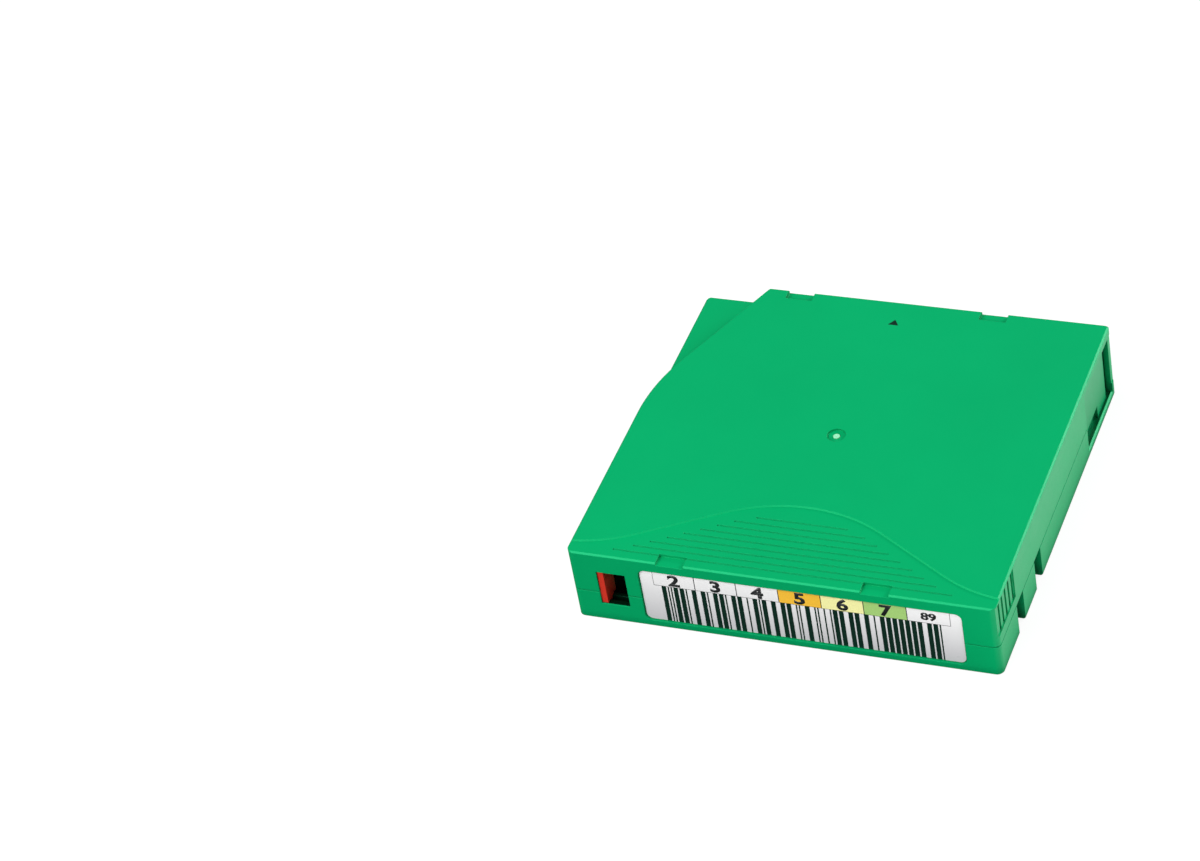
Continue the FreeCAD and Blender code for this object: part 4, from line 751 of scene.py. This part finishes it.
class CARTRIDGE_OT_case_finish(bpy.types.Operator):
    """Give both shells, the door and the slider their moulded finish"""
    bl_idname = "cartridge.case_finish"
    bl_label = "Case, Door and Slider"

    def execute(self, context):
        tints, plastic = context.scene.cartridge_colours, context.scene.cartridge_plastic
        # Painted shade: the chamber behind the slider's window is painted nearly black in the case's colour
        room, depth, behind_face = 1 * MM, 4 * MM, 0.3 * MM
        low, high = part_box("write_protect_tab")
        chamber = ((low.x - room, CAD_BOX[0].y + behind_face, low.z - room),
                   (high.x + joint_range("write_protect_slide") + room, high.y + depth, high.z + room))
        case = moulded("case_plastic", tints.case, plastic, unlit=chamber)
        dress("upper_case", case)
        dress("lower_case", case)
        dress("door", moulded("door_plastic", tints.door, plastic, roughness=0.36))
        # Painted shade: with open_at at 1.0 the slider's colour darkens wherever any wall stands near
        dress("write_protect_tab", moulded("tab_plastic", tints.tab, plastic, roughness=0.34, open_at=1.0))
        return {"FINISHED"}


class CARTRIDGE_OT_reel_finish(bpy.types.Operator):
    """Give the reel, its brake and the wound tape their finish"""
    bl_idname = "cartridge.reel_finish"
    bl_label = "Reel, Brake and Tape"

    def execute(self, context):
        tints = context.scene.cartridge_colours
        axis = middle_of("reel_hub")
        dress("reel_hub", milky("hub_plastic", tints.hub))
        dress("upper_flange", milky("flange_plastic", tints.flange, roughness=0.28))
        dress("brake_button", milky("brake_plastic", tints.brake))
        dress("brake_release", moulded("release_plastic", tints.release, context.scene.cartridge_plastic,
                                       edge=0.1 * MM))
        dress("clutch_plate", turned_metal("clutch_steel", tints.steel, axis))
        film = wound_tape(tints.tape, axis)
        dress("tape_pack", film)
        dress("tape_leader", film)
        return {"FINISHED"}


class CARTRIDGE_OT_small_parts_finish(bpy.types.Operator):
    """Give the pin, its clamp and spring, and the memory board their finish"""
    bl_idname = "cartridge.small_parts_finish"
    bl_label = "Pin and Memory Board"

    def execute(self, context):
        tints = context.scene.cartridge_colours
        dress("leader_pin", turned_metal("pin_steel", tints.steel, middle_of("leader_pin")))
        dress("pin_retainer", drawn_metal("retainer_steel", tints.spring))
        dress("pin_clamp", milky("clamp_plastic", tints.brake))
        dress("memory_board", circuit_board(tints.board, *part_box("memory_board")))
        dress("memory_chip", dark_cover(tints.chip))
        return {"FINISHED"}


class CARTRIDGE_OT_springs(bpy.types.Operator):
    """Wind the door spring and the brake spring from round wire"""
    bl_idname = "cartridge.springs"
    bl_label = "Springs"

    def execute(self, context):
        sizes, steel = context.scene.cartridge_springs, context.scene.cartridge_colours.spring
        wire, tree = drawn_metal("spring_steel", steel, streak=(3, 3, 3)), coil_tree()
        low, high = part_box("door_spring")
        middle, tall = middle_of("door_spring"), high.y - low.y
        door = grown("door_coil", tree, {
            "Radius": sizes.door_radius, "Wire Radius": sizes.door_wire, "Length": tall,
            "Turns": sizes.door_turns, "Material": wire})
        door.data.transform(Matrix.Translation((middle.x, low.y, middle.z))
                            @ Matrix.Rotation(-math.pi / 2, 4, "X"))
        rides(door, "case", "spring_steel", "door_spring")
        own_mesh(door)
        low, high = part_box("brake_spring")
        middle, tall = middle_of("reel_hub"), high.z - low.z
        brake = grown("brake_coil", tree, {
            "Radius": sizes.brake_radius, "Wire Radius": sizes.brake_wire, "Length": tall,
            "Turns": sizes.brake_turns, "Material": wire})
        brake.data.transform(Matrix.Translation((middle.x, middle.y, low.z)))
        rides(brake, "case", "spring_steel", "brake_spring")
        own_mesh(brake)
        return {"FINISHED"}


class CARTRIDGE_OT_screws(bpy.types.Operator):
    """Put threaded screws with star sockets in the places of the plain ones"""
    bl_idname = "cartridge.screws"
    bl_label = "Screws"

    def execute(self, context):
        sizes = context.scene.cartridge_screws
        low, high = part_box("case_screws")
        spots = mesh_object("screw_places", [(x, y, low.z) for x, y in screw_places(sizes.spacing)], [])
        screws = grown("star_screws", screw_tree(), {
            "Head Radius": sizes.head_radius, "Shank Radius": sizes.shank_radius,
            "Length": high.z - low.z, "Cone Height": sizes.cone_height, "Pitch": sizes.pitch,
            "Places": spots, "Material": drawn_metal("screw_steel", context.scene.cartridge_colours.steel)})
        bpy.data.objects.remove(spots)
        rides(screws, "case", "screw_steel", "case_screws")
        return {"FINISHED"}


def screw_places(spacing):
    """The middle of each screw, from the plain screws' own points."""
    groups = []
    for vertex in frame["nodes"]["case_screws"].data.vertices:
        spot = vertex.co.xy
        group = next((g for g in groups if (g[0] - spot).length < spacing), [])
        if not group:
            groups.append(group)
        group.append(spot)
    places = []
    for group in groups:
        xs, ys = zip(*group)
        places.append(((min(xs) + max(xs)) / 2, (min(ys) + max(ys)) / 2))
    return sorted(places)


class CARTRIDGE_OT_label_print(bpy.types.Operator):
    """Print the label: tinted fields with plain figures, over a row of dark bars"""
    bl_idname = "cartridge.label_print"
    bl_label = "Label and Print"

    def execute(self, context):
        tints, sizes = context.scene.cartridge_colours, context.scene.cartridge_label
        low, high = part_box("label")
        dress("label", label_paper(tints.paper, tints.paper_foot, low.z, high.z))
        wide, tall = high.x - low.x, high.z - low.z
        place, foot = label_plane(), tall - sizes.field_height
        bar_ink, figure_ink = printed("bar_ink", tints.ink), printed("figure_ink", tints.figure_ink)
        starts = [sizes.field_start + i * sizes.field_pitch for i in range(sizes.fields)]
        for i, tint in enumerate((tints.fourth_field, tints.fifth_field, tints.sixth_field), start=4):
            field = rectangle(starts[i - 1], starts[i - 1] + sizes.field_pitch, foot, tall)
            fill = slabs(f"label_field_{i}", [field], -sizes.ink_depth, sizes.ink_depth / 2, place)
            rides(coat(fill, printed(f"field_ink_{i}", tint)), "case", "label_paper")
        strips = [strip for start in starts for strip in frame_strips(
            start, start + sizes.field_pitch, foot, tall, sizes.field_line)]
        lines = slabs("label_field_lines", strips, -sizes.ink_depth, sizes.ink_depth, place)
        rides(coat(lines, figure_ink), "case", "label_paper")
        self.figures(sizes, tall, place, figure_ink)
        self.bars(sizes, wide, foot, place, bar_ink)
        return {"FINISHED"}

    def figures(self, sizes, tall, place, ink):
        """One figure in the middle of each field, and a smaller pair in the last one."""
        pieces = []
        for i in range(sizes.fields):
            last = i == sizes.fields - 1
            height = sizes.figure_height * (sizes.last_figure_share if last else 1)
            figure = sizes.first_figure + i
            text = f"{figure}{figure + 1}" if last else str(figure)
            across = sizes.field_start + (i + 0.5) * sizes.field_pitch
            up = tall - sizes.figure_drop - (sizes.figure_height + height) / 2
            pieces.append(written(text, height, across, up, sizes, place))
        rides(coat(joined("label_figures", pieces), ink), "case", "label_paper")

    def bars(self, sizes, wide, top, place, ink):
        bars = grown("label_bars", bars_tree(), {
            "Count": sizes.bars, "Wide": sizes.wide_bar, "Seed": sizes.bar_pattern,
            "Width": wide - sizes.bars_start - sizes.bars_end, "Height": sizes.bars_height,
            "Depth": 2 * sizes.ink_depth, "Material": ink})
        middle = (sizes.bars_start, top - sizes.bars_height / 2, 0)
        bars.data.transform(place @ Matrix.Translation(middle))
        rides(bars, "case", "label_paper")


class CARTRIDGE_OT_top_print(bpy.types.Operator):
    """Print the arrow on the top, and set the moulding mark in its dimple"""
    bl_idname = "cartridge.top_print"
    bl_label = "Arrow and Moulding Mark"

    def execute(self, context):
        tints, sizes = context.scene.cartridge_colours, context.scene.cartridge_top_print
        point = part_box("upper_case")[1].y - sizes.arrow_inset
        base, half = point - sizes.arrow_length, sizes.arrow_width / 2
        triangle = [(-half, base), (half, base), (0.0, point)]
        arrow = slabs("insert_arrow", [triangle], -sizes.ink_depth, sizes.ink_depth, top_plane())
        rides(coat(arrow, printed("case_ink", tints.ink)), "case", "case_plastic")
        # Painted highlight: the nub is coloured pale where it catches the light
        torn = moulded("torn_plastic", tints.torn, context.scene.cartridge_plastic, roughness=0.3)
        rides(coat(self.gate_mark(sizes), torn), "case", "case_plastic")
        return {"FINISHED"}

    def gate_mark(self, sizes):
        """A low nub with a hollow middle, as the plastic leaves it when it's torn off."""
        middle = middle_of("reel_hub")
        place = top_plane() @ Matrix.Translation((middle.x, middle.y, -sizes.gate_dimple))
        shares = [(0, -0.25), (1, -0.25), (1, 0.5), (0.8, 0.9), (0.55, 1), (0.25, 0.7), (0, 0.6)]
        profile = [(r * sizes.gate_radius, z * sizes.gate_height) for r, z in shares]
        return turned("gate_mark", profile, 24, place)


class CARTRIDGE_OT_stage(bpy.types.Operator):
    """Set up the floor, the light and the camera"""
    bl_idname = "cartridge.stage"
    bl_label = "Floor, Light and Camera"

    def execute(self, context):
        studio = context.scene.cartridge_studio
        self.floor(studio)
        self.light(context, studio)
        self.camera(context, studio)
        context.scene.view_settings.view_transform = "Standard"
        return {"FINISHED"}

    def floor(self, studio):
        """White paper to the camera, dark in front of the object and bright beside its door."""
        change_start, change_end, gap = 2 * MM, 7 * MM, 0.05 * MM
        half, low = studio.floor_size, CAD_BOX[0].z - gap
        floor = mesh_object("floor", [(x, y, low) for x, y in rectangle(-half, half, -half, half)],
                            [(0, 1, 2, 3)])
        f = Finish("floor_paper", 0.9)
        path, white = f.node("ShaderNodeLightPath").outputs, (1, 1, 1)
        grey = f.node("ShaderNodeBsdfDiffuse", {"Color": [studio.floor_tone] * 3})
        glow = f.node("ShaderNodeEmission", {"Color": white, "Strength": studio.floor_white})
        bright = f.node("ShaderNodeAddShader", {0: grey, 1: glow})
        side = CAD_BOX[1].x
        beside = f.spread(f.parts(f.where)[0], start=side - change_start, end=side + change_end)
        level = f.spread(beside, studio.floor_shade, studio.floor_shine, 0.0, 1.0)
        tone = f.between(beside, [studio.bounce_front] * 3, [studio.bounce_beside] * 3)
        pale = f.node("ShaderNodeBsdfDiffuse", {"Color": tone})
        mirrored = f.node("ShaderNodeEmission", {"Color": white, "Strength": level})
        seen = f.maths("MAXIMUM", path["Is Camera Ray"], path["Is Transmission Ray"])
        lit = f.node("ShaderNodeMixShader", {0: seen, 1: pale, 2: bright})
        mixed = f.node("ShaderNodeMixShader", {0: path["Is Glossy Ray"], 1: lit, 2: mirrored})
        f.feed(f.tree.nodes["Material Output"].inputs["Surface"], mixed)
        coat(floor, f.material)

    def light(self, context, studio):
        """An even sky with a dark part behind the object, and two soft lamps."""
        world = bpy.data.worlds.new("studio")
        world.use_nodes = True
        context.scene.world = world
        net = Net(world.node_tree)
        facing = net.node("ShaderNodeVectorMath", {
            0: net.node("ShaderNodeTexCoord").outputs["Generated"],
            1: toward(studio.turn + math.pi, studio.lift)}, operation="DOT_PRODUCT")
        level = net.node("ShaderNodeMapRange", {
            "Value": facing.outputs["Value"], "From Min": math.cos(studio.shade_edge),
            "From Max": math.cos(studio.shade_core), "To Min": studio.sky, "To Max": studio.sky_shade},
            interpolation_type="SMOOTHSTEP")
        sky = net.node("ShaderNodeBackground", {"Color": (1, 1, 1), "Strength": level})
        white = net.node("ShaderNodeBackground", {"Color": (1, 1, 1)})
        seen = net.node("ShaderNodeLightPath").outputs["Is Camera Ray"]
        mixed = net.node("ShaderNodeMixShader", {0: seen, 1: sky, 2: white})
        net.feed(net.tree.nodes["World Output"].inputs["Surface"], mixed)
        far = studio.lamp_distance
        self.lamp("key_lamp", studio.key, studio.key_size, toward(studio.key_turn, studio.key_lift), far)
        self.lamp("rim_lamp", studio.rim, studio.rim_size, toward(studio.rim_turn, studio.rim_lift), far)

    def lamp(self, name, power, size, out, distance):
        """A square lamp that faces the object from this far out."""
        lamp = bpy.data.lights.new(name, "AREA")
        lamp.shape, lamp.size, lamp.energy = "SQUARE", size, power
        placed = linked(name, lamp)
        placed.location = out * distance
        placed.rotation_mode = "QUATERNION"
        placed.rotation_quaternion = out.to_track_quat("Z", "Y")

    def camera(self, context, studio):
        roll, back = studio.roll, toward(studio.turn, studio.lift)
        level = (-back).cross(Vector((0, 0, 1))).normalized()
        rise = level.cross(-back)
        right = level * math.cos(roll) + rise * math.sin(roll)
        up = rise * math.cos(roll) - level * math.sin(roll)
        target = (CAD_BOX[0] + CAD_BOX[1]) / 2 - right * studio.aside - up * studio.below
        camera = linked("camera", bpy.data.cameras.new("camera"))
        camera.data.sensor_width = studio.sensor
        camera.data.lens = studio.lens
        facing = Matrix((right, up, back)).transposed().to_4x4()
        camera.matrix_world = Matrix.Translation(target + back * studio.distance) @ facing
        context.scene.camera = camera


class CARTRIDGE_PT_panel(bpy.types.Panel):
    """Lists the steps that dress the cartridge"""
    bl_idname = "CARTRIDGE_PT_panel"
    bl_label = "Cartridge"
    bl_space_type = "VIEW_3D"
    bl_region_type = "UI"
    bl_category = "Cartridge"

    def draw(self, context):
        for operator in OPERATORS:
            self.layout.operator(operator.bl_idname)
        for group in GROUPS:
            box = self.layout.box()
            values = getattr(context.scene, group)
            for name in values.bl_rna.properties.keys():
                if name not in {"rna_type", "name"}:
                    box.prop(values, name)


GROUPS = {
    "cartridge_colours": CartridgeColours,
    "cartridge_plastic": CartridgePlastic,
    "cartridge_label": CartridgeLabel,
    "cartridge_top_print": CartridgeTopPrint,
    "cartridge_springs": CartridgeSprings,
    "cartridge_screws": CartridgeScrews,
    "cartridge_studio": CartridgeStudio,
}
OPERATORS = (
    CARTRIDGE_OT_stage,
    CARTRIDGE_OT_case_finish,
    CARTRIDGE_OT_reel_finish,
    CARTRIDGE_OT_small_parts_finish,
    CARTRIDGE_OT_springs,
    CARTRIDGE_OT_screws,
    CARTRIDGE_OT_label_print,
    CARTRIDGE_OT_top_print,
)


def register():
    for group, kind in GROUPS.items():
        bpy.utils.register_class(kind)
        setattr(bpy.types.Scene, group, PointerProperty(type=kind))
    for kind in (*OPERATORS, CARTRIDGE_PT_panel):
        bpy.utils.register_class(kind)


def unregister():
    for kind in (CARTRIDGE_PT_panel, *reversed(OPERATORS)):
        bpy.utils.unregister_class(kind)
    for group, kind in reversed(GROUPS.items()):
        delattr(bpy.types.Scene, group)
        bpy.utils.unregister_class(kind)


def main():
    register()
    for operator in OPERATORS:
        group, name = operator.bl_idname.split(".")
        getattr(getattr(bpy.ops, group), name)()


if __name__ == "__main__":
    main()
